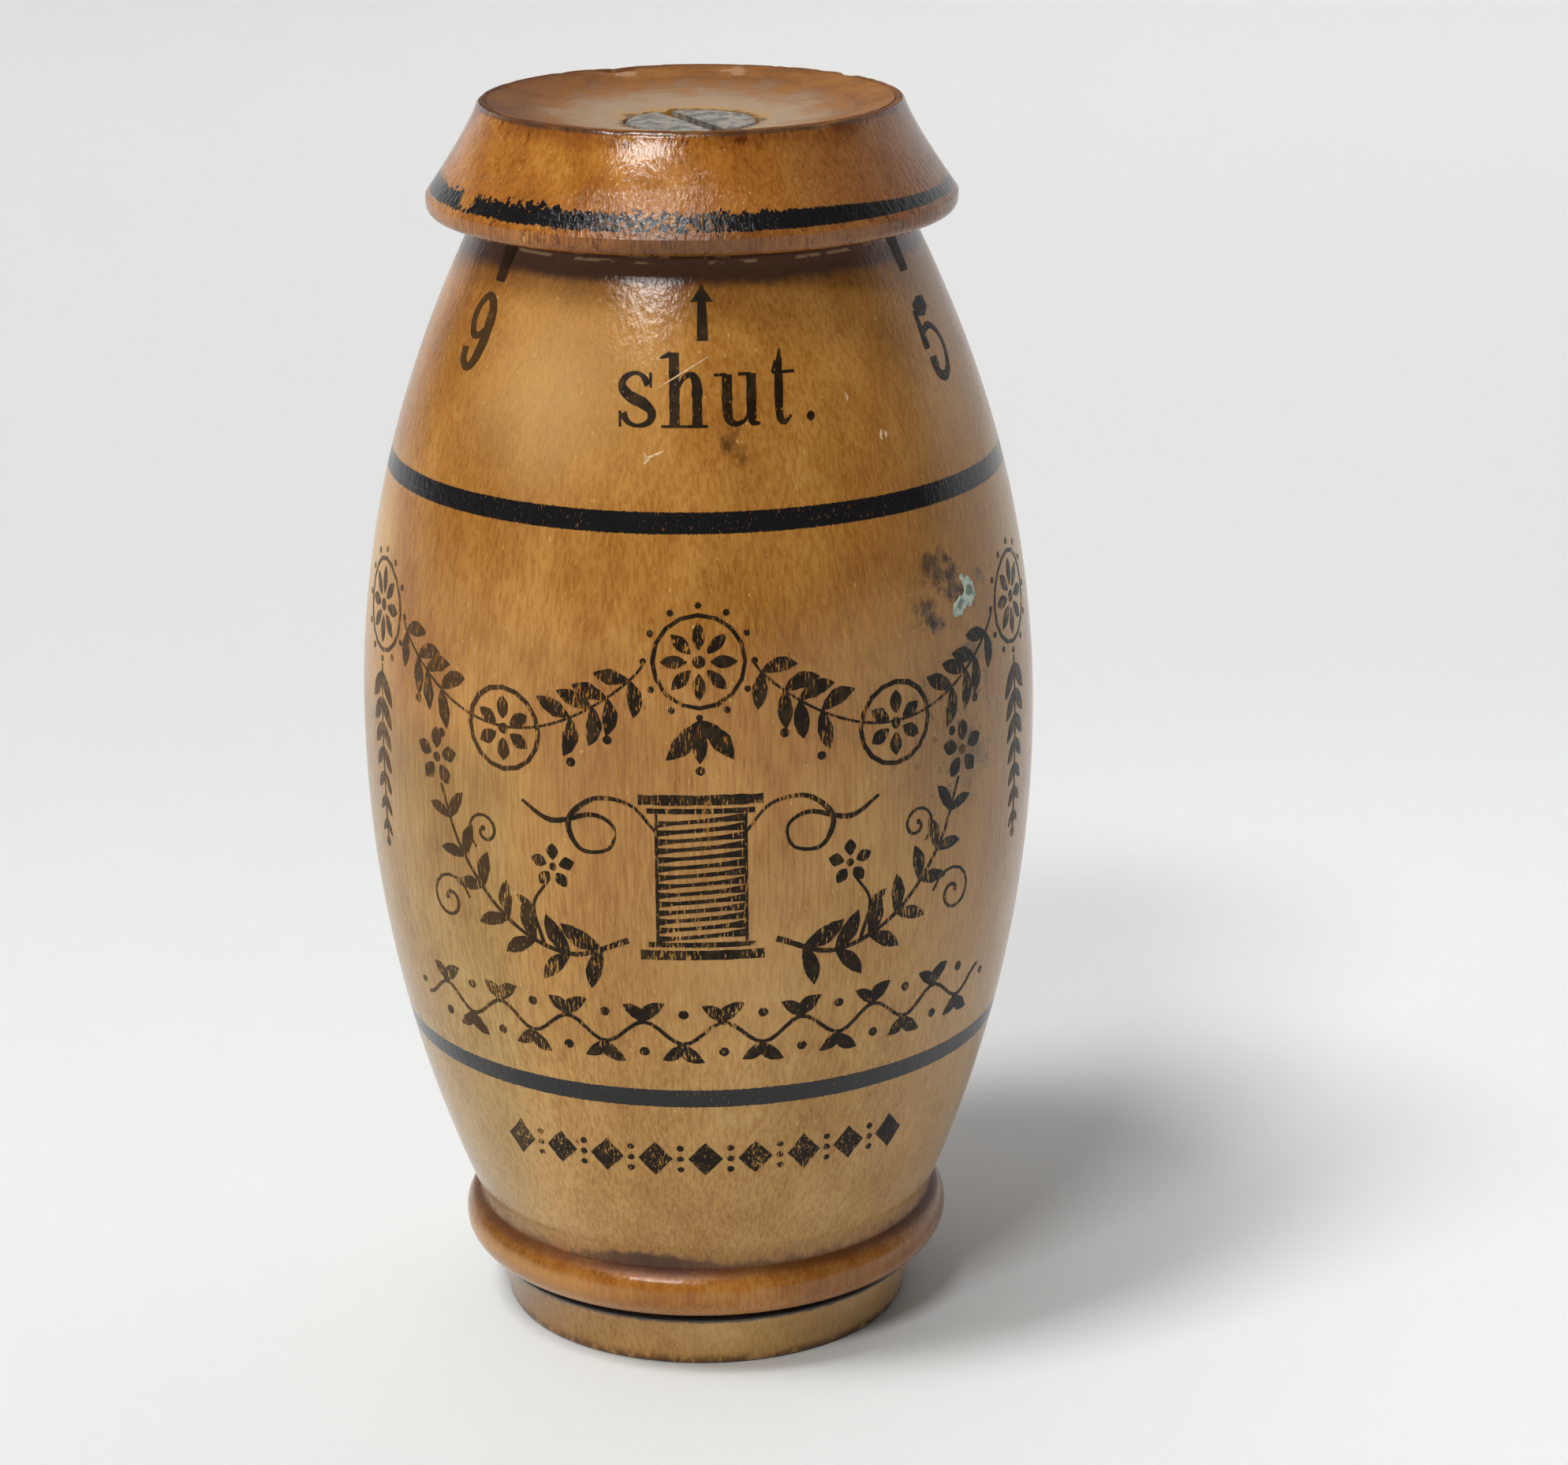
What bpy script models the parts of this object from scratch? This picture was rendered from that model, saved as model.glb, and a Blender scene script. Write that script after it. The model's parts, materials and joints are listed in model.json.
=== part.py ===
"""Turned wooden needle case: a barrel with five needle compartments under a revolving cap.

Metres, +Z up. The origin is the centre of the underside, and the front, where the
mark for the closed position is, faces -Y. The cap turns about Z on its pivot screw.
"""
import math

import bmesh
import bpy
from mathutils import Matrix, Vector

MM = 0.001

# Needles: the longest and thickest size first, each next size shorter and finer
first_needle_size = 5
needles_in_compartment = 4
longest_needle = 41.0 * MM
length_step = 2.1 * MM
thickest_needle = 0.76 * MM
thickness_step = 0.055 * MM
point_share = 0.14
point_swell_share = 0.62
eye_end_share = 0.7
eye_length = 1.4 * MM
eye_width_share = 0.36
eye_below_end = 0.7 * MM

# Needle compartments: one for each position of the cap but the closed one
position_count = 6
needle_floor_gap = 0.3 * MM
needle_wall_gap = 0.08 * MM
needle_headroom = 4.7 * MM
floor_thickness = 11.75 * MM
outer_wall = 0.75 * MM
web = 1.05 * MM

# Barrel: one turning, from the foot ring up to the land that the cap turns on
shoulder_radius = 11.0 * MM
shoulder_edge = 0.35 * MM
belly_radius = 17.15 * MM
belly_height = 32.0 * MM
upper_fullness = 2.05
lower_fullness = 2.05
cove_height = 1.4 * MM
cove_flare = 0.37 * MM
cove_hollow = 2.2
bead_radius = 12.75 * MM
bead_depth = 1.4 * MM
bead_half_height = 1.45 * MM
crease_depth = 0.72 * MM
groove_depth = 0.3 * MM
groove_width = 0.35 * MM
ring_height = 2.9 * MM
ring_radius = 11.4 * MM
base_radius = 10.6 * MM
base_edge = 0.25 * MM

# Painted bands on the barrel and the cap
band_width = 1.0 * MM
lower_band_height = 16.25 * MM
upper_band_drop = 12.35 * MM
cap_band_width = 0.8 * MM
cap_band_height = 1.15 * MM

# Cap: a flared collar with a shallow dish, and one mouth for the needles
cap_gap = 0.3 * MM
cap_height = 5.45 * MM
rim_radius = 10.5 * MM
rim_thickness = 0.4 * MM
brim_radius = 13.2 * MM
brim_height = 0.85 * MM
brim_edge = 0.3 * MM
flare_fullness = 1.2
dish_depth = 1.35 * MM
mouth_step = 0.1 * MM

# Pivot screw: a slotted countersunk wood screw, flush with the dish
screw_length = 15.9 * MM
head_radius = 3.2 * MM
head_edge = 0.25 * MM
head_clearance = 0.15 * MM
shank_radius = 1.6 * MM
shank_clearance = 0.1 * MM
thread_root_radius = 1.15 * MM
thread_pitch = 1.6 * MM
thread_start = 0.5 * MM
thread_taper = 2.4 * MM
slot_width = 0.8 * MM
slot_depth = 0.75 * MM
slot_angle = math.radians(-65)
pilot_extra = 0.5 * MM

# Mesh fineness
turned_steps = 64
bore_steps = 32
swell_rows = 8
cove_rows = 3
bead_rows = 8
flare_rows = 6
dish_rows = 5
edge_rows = 3
thread_rows_per_turn = 6
screw_steps = 16
needle_steps = 8
smooth_angle = math.radians(35)
overrun = 1.0 * MM
weld = 0.001 * MM

# Finishes: colour and roughness
varnished_wood = ((0.46, 0.22, 0.065), 0.35)
stained_wood = ((0.40, 0.15, 0.035), 0.3)
black_paint = ((0.012, 0.011, 0.011), 0.4)
iron = ((0.24, 0.25, 0.27), 0.45)
needle_steel = ((0.62, 0.63, 0.65), 0.22)

# Heights that follow: the compartments take the longest needle, the cap lies on the barrel
compartment_depth = needle_floor_gap + longest_needle + needle_headroom
barrel_height = floor_thickness + compartment_depth
upper_band_height = barrel_height - upper_band_drop
bead_centre = ring_height + groove_width + bead_half_height
bead_top_angle = math.acos((bead_depth - crease_depth) / bead_depth)
crease_height = bead_centre + bead_half_height * math.sin(bead_top_angle)
crease_radius = bead_radius - crease_depth
cove_top = crease_height + cove_height
cove_radius = crease_radius + cove_flare
cap_bottom = barrel_height + cap_gap
cap_top = cap_bottom + cap_height

# Compartments as wide as the outer wall and the webs between them leave room for
position_step = 2 * math.pi / position_count
spread = 1 / math.sin(position_step / 2)
bore_radius = (shoulder_radius - outer_wall - web * spread / 2) / (1 + spread)
bore_flat_radius = bore_radius * math.cos(math.pi / bore_steps)
pitch_radius = shoulder_radius - outer_wall - bore_radius
mouth_radius = bore_radius - mouth_step
rim_inner_radius = rim_radius - rim_thickness


def dish_height(radius):
    """Height of the cap's dish, hollow to a parabola inside the rim."""
    return cap_top - dish_depth * (1 - (radius / rim_inner_radius) ** 2)


# The screw's head seats in a countersink in the dish, and its thread in a pilot hole
seat_radius = head_radius + head_clearance
cone_height = head_radius - shank_radius
screw_top = dish_height(seat_radius)
screw_tip = screw_top - screw_length
screw_hole_radius = shank_radius + shank_clearance
pilot_floor = screw_tip - pilot_extra


def material(name, finish, metallic=0.0):
    """A plain Principled material from a finish."""
    colour, roughness = finish
    made = bpy.data.materials.new(name)
    made.use_nodes = True
    shader = made.node_tree.nodes["Principled BSDF"]
    shader.inputs["Base Color"].default_value = (*colour, 1.0)
    shader.inputs["Roughness"].default_value = roughness
    shader.inputs["Metallic"].default_value = metallic
    made.diffuse_color = (*colour, 1.0)
    return made


def add_object(name, mesh, *materials):
    thing = bpy.data.objects.new(name, mesh)
    for made in materials:
        mesh.materials.append(made)
    bpy.context.collection.objects.link(thing)
    return thing


def mesh_from(bm, name):
    """Turn an edit mesh into a mesh with outward faces, smooth but for its real edges."""
    bmesh.ops.recalc_face_normals(bm, faces=bm.faces)
    mesh = bpy.data.meshes.new(name)
    bm.to_mesh(mesh)
    bm.free()
    mesh.shade_smooth()
    mesh.set_sharp_from_angle(angle=smooth_angle)
    return mesh


def turned_mesh(name, outline, closed=False):
    """Spin a half-section, given as (radius, height) points, once round the Z axis."""
    bm = bmesh.new()
    verts = [bm.verts.new((radius, 0, height)) for radius, height in outline]
    pairs = list(zip(verts, verts[1:])) + ([(verts[-1], verts[0])] if closed else [])
    edges = [bm.edges.new(pair) for pair in pairs]
    bmesh.ops.spin(bm, geom=verts + edges, cent=(0, 0, 0), axis=(0, 0, 1),
                   angle=2 * math.pi, steps=turned_steps, use_merge=True)
    bmesh.ops.remove_doubles(bm, verts=bm.verts, dist=weld)
    return mesh_from(bm, name)


def cylinders_mesh(name, places, radius, low, high):
    """Upright cylinders in one mesh, for boring."""
    bm = bmesh.new()
    for x, y in places:
        centre = Matrix.Translation((x, y, (low + high) / 2))
        bmesh.ops.create_cone(bm, cap_ends=True, segments=bore_steps, radius1=radius,
                              radius2=radius, depth=high - low, matrix=centre)
    return mesh_from(bm, name)


def box_mesh(name, centre, size):
    bm = bmesh.new()
    bmesh.ops.create_cube(bm, size=1, matrix=Matrix.LocRotScale(centre, None, size))
    return mesh_from(bm, name)


def ring_stack_mesh(name, rows, steps, end_low, end_high):
    """Closed skin over rows of (height, radius at an angle), with a vertex at each end."""
    bm = bmesh.new()
    turns = [2 * math.pi * step / steps for step in range(steps)]
    rings = [[bm.verts.new((radius_at(turn) * math.cos(turn),
                            radius_at(turn) * math.sin(turn), height)) for turn in turns]
             for height, radius_at in rows]
    for lower, upper in zip(rings, rings[1:]):
        for step in range(steps):
            after = (step + 1) % steps
            bm.faces.new((lower[step], lower[after], upper[after], upper[step]))
    for ring, height in ((rings[0], end_low), (rings[-1], end_high)):
        end = bm.verts.new((0, 0, height))
        for step in range(steps):
            bm.faces.new((ring[step], ring[(step + 1) % steps], end))
    return mesh_from(bm, name)


def cut(thing, mesh):
    """Take a cutter's volume out of an object with a Boolean modifier."""
    cutter = add_object(mesh.name, mesh)
    cutter.hide_render = True
    cutter.display_type = "WIRE"
    modifier = thing.modifiers.new(mesh.name, "BOOLEAN")
    modifier.operation = "DIFFERENCE"
    modifier.solver = "EXACT"
    modifier.object = cutter
    return cutter


def paint(mesh, low, width, inner_radius):
    """Give the outer faces of a band the mesh's second material."""
    for face in mesh.polygons:
        centre = face.center
        if low < centre.z < low + width and centre.xy.length > inner_radius:
            face.material_index = 1


def elliptic_arc(centre, size, start, end, rows):
    """Points on an ellipse round a (radius, height) centre, between two angles."""
    angles = [start + (end - start) * row / rows for row in range(rows + 1)]
    return [(centre[0] + size[0] * math.cos(angle), centre[1] + size[1] * math.sin(angle))
            for angle in angles]


def heights_with_bands(ends, row_count, bands):
    """Even rows between (low, high) ends, from the top, with rows on the bands' edges."""
    low, high = ends
    rows = [low + (high - low) * row / row_count for row in range(row_count + 1)]
    edges = [edge for start, width in bands for edge in (start, start + width)]
    spacing = bands[0][1] / 3
    kept = [row for row in rows if all(abs(row - edge) > spacing for edge in edges)]
    return sorted(kept + edges, reverse=True)


def on_pitch_circle(position):
    """Where a dial position's bore is. Position 0 is the closed one, at the front."""
    angle = position * position_step - math.pi / 2
    return pitch_radius * math.cos(angle), pitch_radius * math.sin(angle)


def swell(height):
    """Outer radius of the barrel's body at a height."""
    if height > belly_height:
        share = (height - belly_height) / (barrel_height - shoulder_edge - belly_height)
        return belly_radius - (belly_radius - shoulder_radius) * share ** upper_fullness
    share = (belly_height - height) / (belly_height - cove_top)
    return belly_radius - (belly_radius - cove_radius) * share ** lower_fullness


def cove(height):
    """Outer radius at a height in the hollow between the body and the bead."""
    return crease_radius + cove_flare * ((height - crease_height) / cove_height) ** cove_hollow


def barrel_outline():
    """Half-section from the pilot hole's floor, over the land and body, to the underside."""
    bands = [(lower_band_height, band_width), (upper_band_height, band_width)]
    body = (cove_top, barrel_height - shoulder_edge)
    heights = heights_with_bands(body, 2 * swell_rows, bands)
    bead_root = (bead_radius - bead_depth, bead_centre)
    points = [(0, pilot_floor), (screw_hole_radius, pilot_floor), (screw_hole_radius, barrel_height)]
    points += elliptic_arc((shoulder_radius - shoulder_edge, body[1]),
                           (shoulder_edge, shoulder_edge), math.pi / 2, 0, edge_rows)[:-1]
    points += [(swell(height), height) for height in heights]
    cove_heights = [cove_top - cove_height * row / cove_rows for row in range(1, cove_rows + 1)]
    points += [(cove(height), height) for height in cove_heights]
    points += elliptic_arc(bead_root, (bead_depth, bead_half_height),
                           bead_top_angle, -math.pi / 2, bead_rows)[1:]
    points += [(ring_radius - groove_depth, ring_height + groove_width / 2),
               (ring_radius, ring_height),
               (base_radius, base_edge),
               (base_radius - base_edge, 0),
               (0, 0)]
    return points


def make_barrel(wood, black):
    mesh = turned_mesh("barrel", barrel_outline())
    barrel = add_object("barrel", mesh, wood, black)
    paint(mesh, lower_band_height, band_width, crease_radius)
    paint(mesh, upper_band_height, band_width, crease_radius)
    paint(mesh, ring_height, groove_width, pitch_radius)
    places = [on_pitch_circle(position) for position in range(1, position_count)]
    cut(barrel, cylinders_mesh("compartment_cutter", places, bore_radius,
                               floor_thickness, barrel_height + overrun))


def flare(height):
    """Outer radius of the cap at a height above its brim."""
    share = (cap_top - height) / (cap_height - brim_height)
    return rim_radius + (brim_radius - rim_radius) * share ** flare_fullness


def cap_outline():
    """Closed half-section: up the screw hole, over the dish and rim, down the flare."""
    seat_bottom = screw_top - head_edge - cone_height
    points = [(screw_hole_radius, cap_bottom), (screw_hole_radius, seat_bottom),
              (seat_radius, screw_top - head_edge)]
    reach = rim_inner_radius - seat_radius
    dish = [seat_radius + reach * row / dish_rows for row in range(dish_rows + 1)]
    points += [(radius, dish_height(radius)) for radius in dish]
    side = (cap_bottom + brim_height, cap_top)
    band = (cap_bottom + cap_band_height, cap_band_width)
    points += [(flare(height), height) for height in heights_with_bands(side, flare_rows, [band])]
    points += elliptic_arc((brim_radius - brim_edge, cap_bottom + brim_edge),
                           (brim_edge, brim_edge), 0, -math.pi / 2, edge_rows)
    return points


def make_cap(wood, black):
    mesh = turned_mesh("cap", cap_outline(), closed=True)
    cap = add_object("cap", mesh, wood, black)
    paint(mesh, cap_bottom + cap_band_height, cap_band_width, rim_radius)
    cut(cap, cylinders_mesh("mouth_cutter", [on_pitch_circle(0)], mouth_radius,
                            cap_bottom - overrun, cap_top + overrun))


def thread_radius(height, turn, thread_top):
    """Radius of the tapering thread: a sharp ridge that climbs one pitch in a turn."""
    phase = (height / thread_pitch - turn / (2 * math.pi)) % 1
    ridge = 1 - abs(2 * phase - 1)
    run_out = min(1, (thread_top - height) / thread_pitch)
    taper = min(1, (height - screw_tip) / thread_taper)
    return taper * (thread_root_radius + (shank_radius - thread_root_radius) * ridge * run_out)


def make_pivot_screw(metal):
    thread_top = barrel_height - thread_start
    row_step = thread_pitch / thread_rows_per_turn
    row_count = math.ceil((thread_top - screw_tip) / row_step) - 1
    rows = []
    for row in range(1, row_count + 1):
        height = screw_tip + row * row_step
        rows.append((height, lambda turn, here=height: thread_radius(here, turn, thread_top)))
    rows += [(thread_top + row_step, lambda turn: shank_radius),
             (screw_top - head_edge - cone_height, lambda turn: shank_radius),
             (screw_top - head_edge, lambda turn: head_radius),
             (screw_top, lambda turn: head_radius)]
    mesh = ring_stack_mesh("pivot_screw", rows, screw_steps, screw_tip, screw_top)
    screw = add_object("pivot_screw", mesh, metal)
    size = Vector((2 * head_radius + overrun, slot_width, slot_depth + overrun))
    centre = Vector((0, 0, screw_top - slot_depth + size.z / 2))
    cutter = cut(screw, box_mesh("slot_cutter", centre, size))
    cutter.rotation_euler.z = slot_angle


def needle_mesh(name, length, radius):
    """Needle standing on its point at the local origin, round at its eye end."""
    rows = [(length * point_share / 2, lambda turn: radius * point_swell_share),
            (length * point_share, lambda turn: radius),
            (length - radius, lambda turn: radius),
            (length - radius / 3, lambda turn: radius * eye_end_share)]
    return ring_stack_mesh(name, rows, needle_steps, 0, length)


def make_needles(metal):
    """One object for each needle, spread round the wall of its size's compartment."""
    for position in range(1, position_count):
        size = first_needle_size + position - 1
        length = longest_needle - length_step * (position - 1)
        radius = (thickest_needle - thickness_step * (position - 1)) / 2
        mesh = needle_mesh(f"needle_size_{size}", length, radius)
        mesh.materials.append(metal)
        eye_size = Vector((2 * thickest_needle, 2 * radius * eye_width_share, eye_length))
        eye_centre = Vector((0, 0, length - eye_below_end - eye_length / 2))
        centre_x, centre_y = on_pitch_circle(position)
        reach = bore_flat_radius - needle_wall_gap - radius
        for count in range(needles_in_compartment):
            turn = 2 * math.pi * count / needles_in_compartment
            name = f"needle_{size}_{count + 1}"
            needle = add_object(name, mesh)
            needle.location = (centre_x + reach * math.cos(turn),
                               centre_y + reach * math.sin(turn),
                               floor_thickness + needle_floor_gap)
            needle.rotation_euler.z = turn
            cutter = cut(needle, box_mesh(f"eye_cutter_{name}", eye_centre, eye_size))
            cutter.parent = needle


def main():
    for thing in list(bpy.data.objects):
        bpy.data.objects.remove(thing, do_unlink=True)
    black = material("black_paint", black_paint)
    make_barrel(material("varnished_wood", varnished_wood), black)
    make_cap(material("stained_wood", stained_wood), black)
    make_pivot_screw(material("iron", iron, metallic=1.0))
    make_needles(material("needle_steel", needle_steel, metallic=1.0))


main()
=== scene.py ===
"""Looks of the turned wooden needle case: varnished wood, worn ink, iron screw and needles.

Lengths are the design's millimetres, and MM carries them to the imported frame, where the
front faces -Y. Angles round the case are degrees from the front, growing towards +X.
"""

import json
import math

import bmesh
import bpy
from mathutils import Matrix, Vector, noise


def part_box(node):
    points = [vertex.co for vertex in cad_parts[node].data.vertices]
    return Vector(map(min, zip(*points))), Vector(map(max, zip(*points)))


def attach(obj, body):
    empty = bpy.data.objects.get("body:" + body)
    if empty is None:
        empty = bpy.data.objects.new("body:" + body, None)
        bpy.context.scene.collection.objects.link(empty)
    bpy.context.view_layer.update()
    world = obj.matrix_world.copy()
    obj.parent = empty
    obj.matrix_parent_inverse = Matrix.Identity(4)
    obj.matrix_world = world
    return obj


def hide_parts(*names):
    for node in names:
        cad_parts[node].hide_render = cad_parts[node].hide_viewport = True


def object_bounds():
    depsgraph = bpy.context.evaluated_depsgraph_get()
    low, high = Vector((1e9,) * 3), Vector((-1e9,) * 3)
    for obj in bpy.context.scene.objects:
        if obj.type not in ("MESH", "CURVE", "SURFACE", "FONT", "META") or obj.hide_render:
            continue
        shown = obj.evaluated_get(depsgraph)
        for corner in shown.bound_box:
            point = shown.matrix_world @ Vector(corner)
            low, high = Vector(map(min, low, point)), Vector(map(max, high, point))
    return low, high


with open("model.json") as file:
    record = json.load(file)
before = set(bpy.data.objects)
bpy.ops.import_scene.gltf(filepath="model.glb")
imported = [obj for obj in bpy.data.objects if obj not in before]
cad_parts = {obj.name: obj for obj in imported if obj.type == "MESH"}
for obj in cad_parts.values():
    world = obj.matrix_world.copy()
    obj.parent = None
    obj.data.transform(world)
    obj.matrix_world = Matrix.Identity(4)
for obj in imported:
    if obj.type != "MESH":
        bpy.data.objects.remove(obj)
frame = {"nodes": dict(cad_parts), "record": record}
cad_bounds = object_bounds()

# Main sizes, from the frame
design_height = 63.5
MM = (cad_bounds[1].z - cad_bounds[0].z) / design_height
barrel_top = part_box("barrel")[1].z / MM
belly_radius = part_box("barrel")[1].x / MM
cap_bottom, cap_top = (corner.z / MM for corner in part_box("cap"))
brim_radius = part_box("cap")[1].x / MM
screw_tip, screw_top = (corner.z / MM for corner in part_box("pivot_screw"))

# Barrel: the turning's section
shoulder_radius = 11.0
shoulder_edge = 0.35
belly_height = 32.0
upper_fullness = 2.05
lower_fullness = 2.05
cove_height = 1.4
cove_flare = 0.37
cove_hollow = 2.2
crease_radius = 12.03
bead_radius = 12.75
bead_root_radius = 11.35
bead_half_height = 1.45
ring_height = 2.9
ring_radius = 11.4
groove_width = 0.35
groove_depth = 0.3
ring_round = 0.07
ring_hollow = 0.1
base_radius = 10.6
base_edge = 0.25
bore_radius = 3.067
compartment_floor = 11.75
pilot_room = 0.5
land_step = 6.0
base_step = 5.0

# Painted bands
band_width = 1.0
lower_band = 16.25
upper_band = 45.4
cap_band_width = 0.8
cap_band = cap_bottom + 1.15

# Cap: the turning's section
rim_radius = 10.5
rim_inner_radius = 10.1
rim_round = 0.15
rim_root = 0.12
brim_height = 0.85
brim_edge = 0.45
brim_edge_rise = 0.54
brim_step = 11.6
flare_fullness = 1.2
dish_depth = 1.35
seat_gap = 0.12
seat_edge = 0.06
mouth_radius = 2.967
mouth_centre = 7.183
# The dish's coat starts this far below its floor, and ends this far inside the cap's outside
dish_below = 0.3
dish_within = 0.12

# Wear on the cap: (angle, depth, width, radius) of each mark on the rim, and (x, y) of each chip
rim_wear = 0.05
rim_marks = [(129, 0.42, 0.32, 10.4), (-158, 0.3, 1.1, 9.95), (36, 0.12, 0.6, 10.4),
             (-20, 0.08, 0.5, 10.4)]
rim_mark_reach = 0.35
rim_worn_height = 0.4
rim_worn_width = 0.6
countersink_wear = 0.1
countersink_reach = 0.75
chips = [(-3.5, 8.8), (2.3, 9.2)]

# Needles: the share of each that is gilt
gilt_share = 0.14

# Screw
head_radius = 3.2
head_edge = 0.25
head_bevel = 0.08
head_step = 2.0
shank_radius = 1.6
hole_radius = 1.7
thread_root_radius = 1.15
thread_pitch = 1.6
thread_taper = 2.4
thread_top = barrel_top - 0.5
slot_width = 0.8
slot_depth = 0.75
slot_angle = -65

# Steps of the turned meshes, and how far a cutter reaches past what it cuts
wood_steps = 288
screw_steps = 72
thread_rows = 12
body_rows = 84
cap_rows = 30
overrun = 1.0

# The visible wood lies this far inside the solid, and the ink on it this far proud of it
skin = 0.03
ink_lift = 0.012
scratch_lift = 0.018
splash_lift = 0.05
ink_seat = 0.01
ink_layer = 0.0004
ink_layers = 12
waviness = 0.035
barrel_waves = 4.5
cap_waves = 2.6
stroke_step = 0.3

# Colours, as linear red, green and blue: deep, middle and pale tones of each wood
black = (0.006, 0.0055, 0.006)
tones_low = ((0.385, 0.187, 0.041), (0.465, 0.253, 0.067), (0.54, 0.313, 0.098))
tones_high = ((0.28, 0.11, 0.017), (0.365, 0.158, 0.028), (0.45, 0.218, 0.048))
tones_cap = ((0.22, 0.07, 0.009), (0.35, 0.13, 0.018), (0.43, 0.185, 0.032))
tones_dish = ((0.15, 0.052, 0.009), (0.25, 0.1, 0.02), (0.35, 0.26, 0.175))

# Marks on the barrel: (angle, height, reach, strength) of each smudge; the one at 52 degrees and 40.8 mm
# high is a painted shadow round the splash of paint
smudges_and_speck_shadow = [(45, 42.5, 2.3, 0.8), (48.5, 41.7, 2.1, 0.9), (52, 40.8, 1.6, 0.9),
           (56.5, 41.1, 1.6, 0.8), (42, 40.4, 1.8, 0.85), (44.2, 39.8, 1.3, 1.0),
           (52, 38, 2.6, 0.5), (50, 33, 3.6, 0.45), (6.5, 49.9, 1.5, 0.5), (7.5, 48.9, 1.7, 0.5)]
# Specks of grime: (angle, height, reach), and the dark stain in the crease above the bead
grime = (47, 34.5, 8.0)
stain_angle = -13
stain_reach = 5.5
# Paler places of its wood, the first a painted sheen high on the left: (angle, height, reach, strength)
pale_places_and_sheen = [(-30, 51.5, 8, 0.5), (-25, 33, 6.5, 0.12), (5, 24, 8, 0.3), (32, 31, 6, 0.2),
               (28, 38.5, 6.5, 0.2)]
# Heights between which the barrel darkens under the cap's overhang, softly and then fully: painted shade,
# with some grime
shade_heights = (54.6, 56.6)
shade_and_grime_heights = (56.15, 56.75)

# Marks on the cap: the break in its band, and where the band is rubbed most
band_gap = (-10.75, -6.6, 59.75)
band_rub = (-1.5, -12.7, 59.5)

# Dial: one position for each needle size, and the closed one at the front
first_size = 5
positions = 6
tick_top = barrel_top - 0.15
tick_height = 1.75
arrow_angle = 1.8
label_base = 50.2

# Its numerals: (digit, angle, height, angle of its tick), a little askew as they are printed
dial_marks = [(5, 60.2, 50.75, 60.9), (6, 119, 51.4, 120), (7, 179, 51.7, 180),
              (8, -121, 51.5, -120), (9, -54.6, 51.75, -52.4)]

# Splash of paint: (across, height, size) of each drop, from an angle
splash_angle = 51.7
splash_drops = [(0.45, 40.9, 0.9), (-0.4, 40.4, 0.7)]

# Studio
backdrop_strength = 0.8
room_strength = 0.1
fill_high = 0.58
fill_low = 0.06
# Windows of the room that the varnish mirrors: (azimuth, elevation, reach, rise, strength)
windows = [(-33, 61, 0.34, 0.02, 24), (-50, 70, 0.2, 0.045, 32), (-28, 43, 0.16, 0.028, 38),
           (-25, 38.5, 0.13, 0.012, 48)]
# Area lights, which the varnish doesn't mirror: (azimuth, elevation, distance, width, height, power)
lights = {"key_light": (-57.5, 64, 3000, 600, 980, 53.0),
          "window_light": (-25, 46, 2400, 560, 300, 20.0),
          "side_light": (-62, 12, 2400, 600, 1400, 5.8)}

# Camera: the photograph's viewpoint, in millimetres and degrees, with its lens in pixels
image_width = 1988
lens_pixels = 5257.8
sensor_width = 36.0
camera_distance = 203.27
camera_height = 96.07
camera_pitch = 17.844
camera_yaw = 1.224
camera_roll = -0.427


class Field:
    """A number that varies over a surface: a node's output that adds up like a number."""

    def __init__(self, tree, socket):
        self.tree = tree
        self.socket = socket

    def op(self, operation, *others):
        made = self.tree.nodes.new("ShaderNodeMath")
        made.operation = operation
        for entry, value in zip(made.inputs, (self, *others)):
            join(self.tree, entry, value)
        return Field(self.tree, made.outputs[0])

    def __add__(self, other):
        return self.op("ADD", other)

    def __sub__(self, other):
        return self.op("SUBTRACT", other)

    def __mul__(self, other):
        return self.op("MULTIPLY", other)

    def rest(self):
        """What is missing to 1."""
        return self.op("MULTIPLY", -1.0) + 1.0

    def rise(self, low, high):
        """0 below low and 1 above high, and the other way round where low is the larger."""
        made = self.tree.nodes.new("ShaderNodeMapRange")
        made.interpolation_type = "SMOOTHSTEP"
        for entry, value in (("Value", self), ("From Min", low), ("From Max", high)):
            join(self.tree, made.inputs[entry], value)
        return Field(self.tree, made.outputs["Result"])

    def size(self):
        return self.op("ABSOLUTE")

    def most(self, other):
        return self.op("MAXIMUM", other)


def join(tree, entry, value):
    """Put a field, a colour or a plain number on a node's entry."""
    if isinstance(value, Field):
        tree.links.new(value.socket, entry)
    elif isinstance(value, tuple) and entry.type == "RGBA":
        entry.default_value = (*value, 1.0)
    else:
        entry.default_value = value


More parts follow.
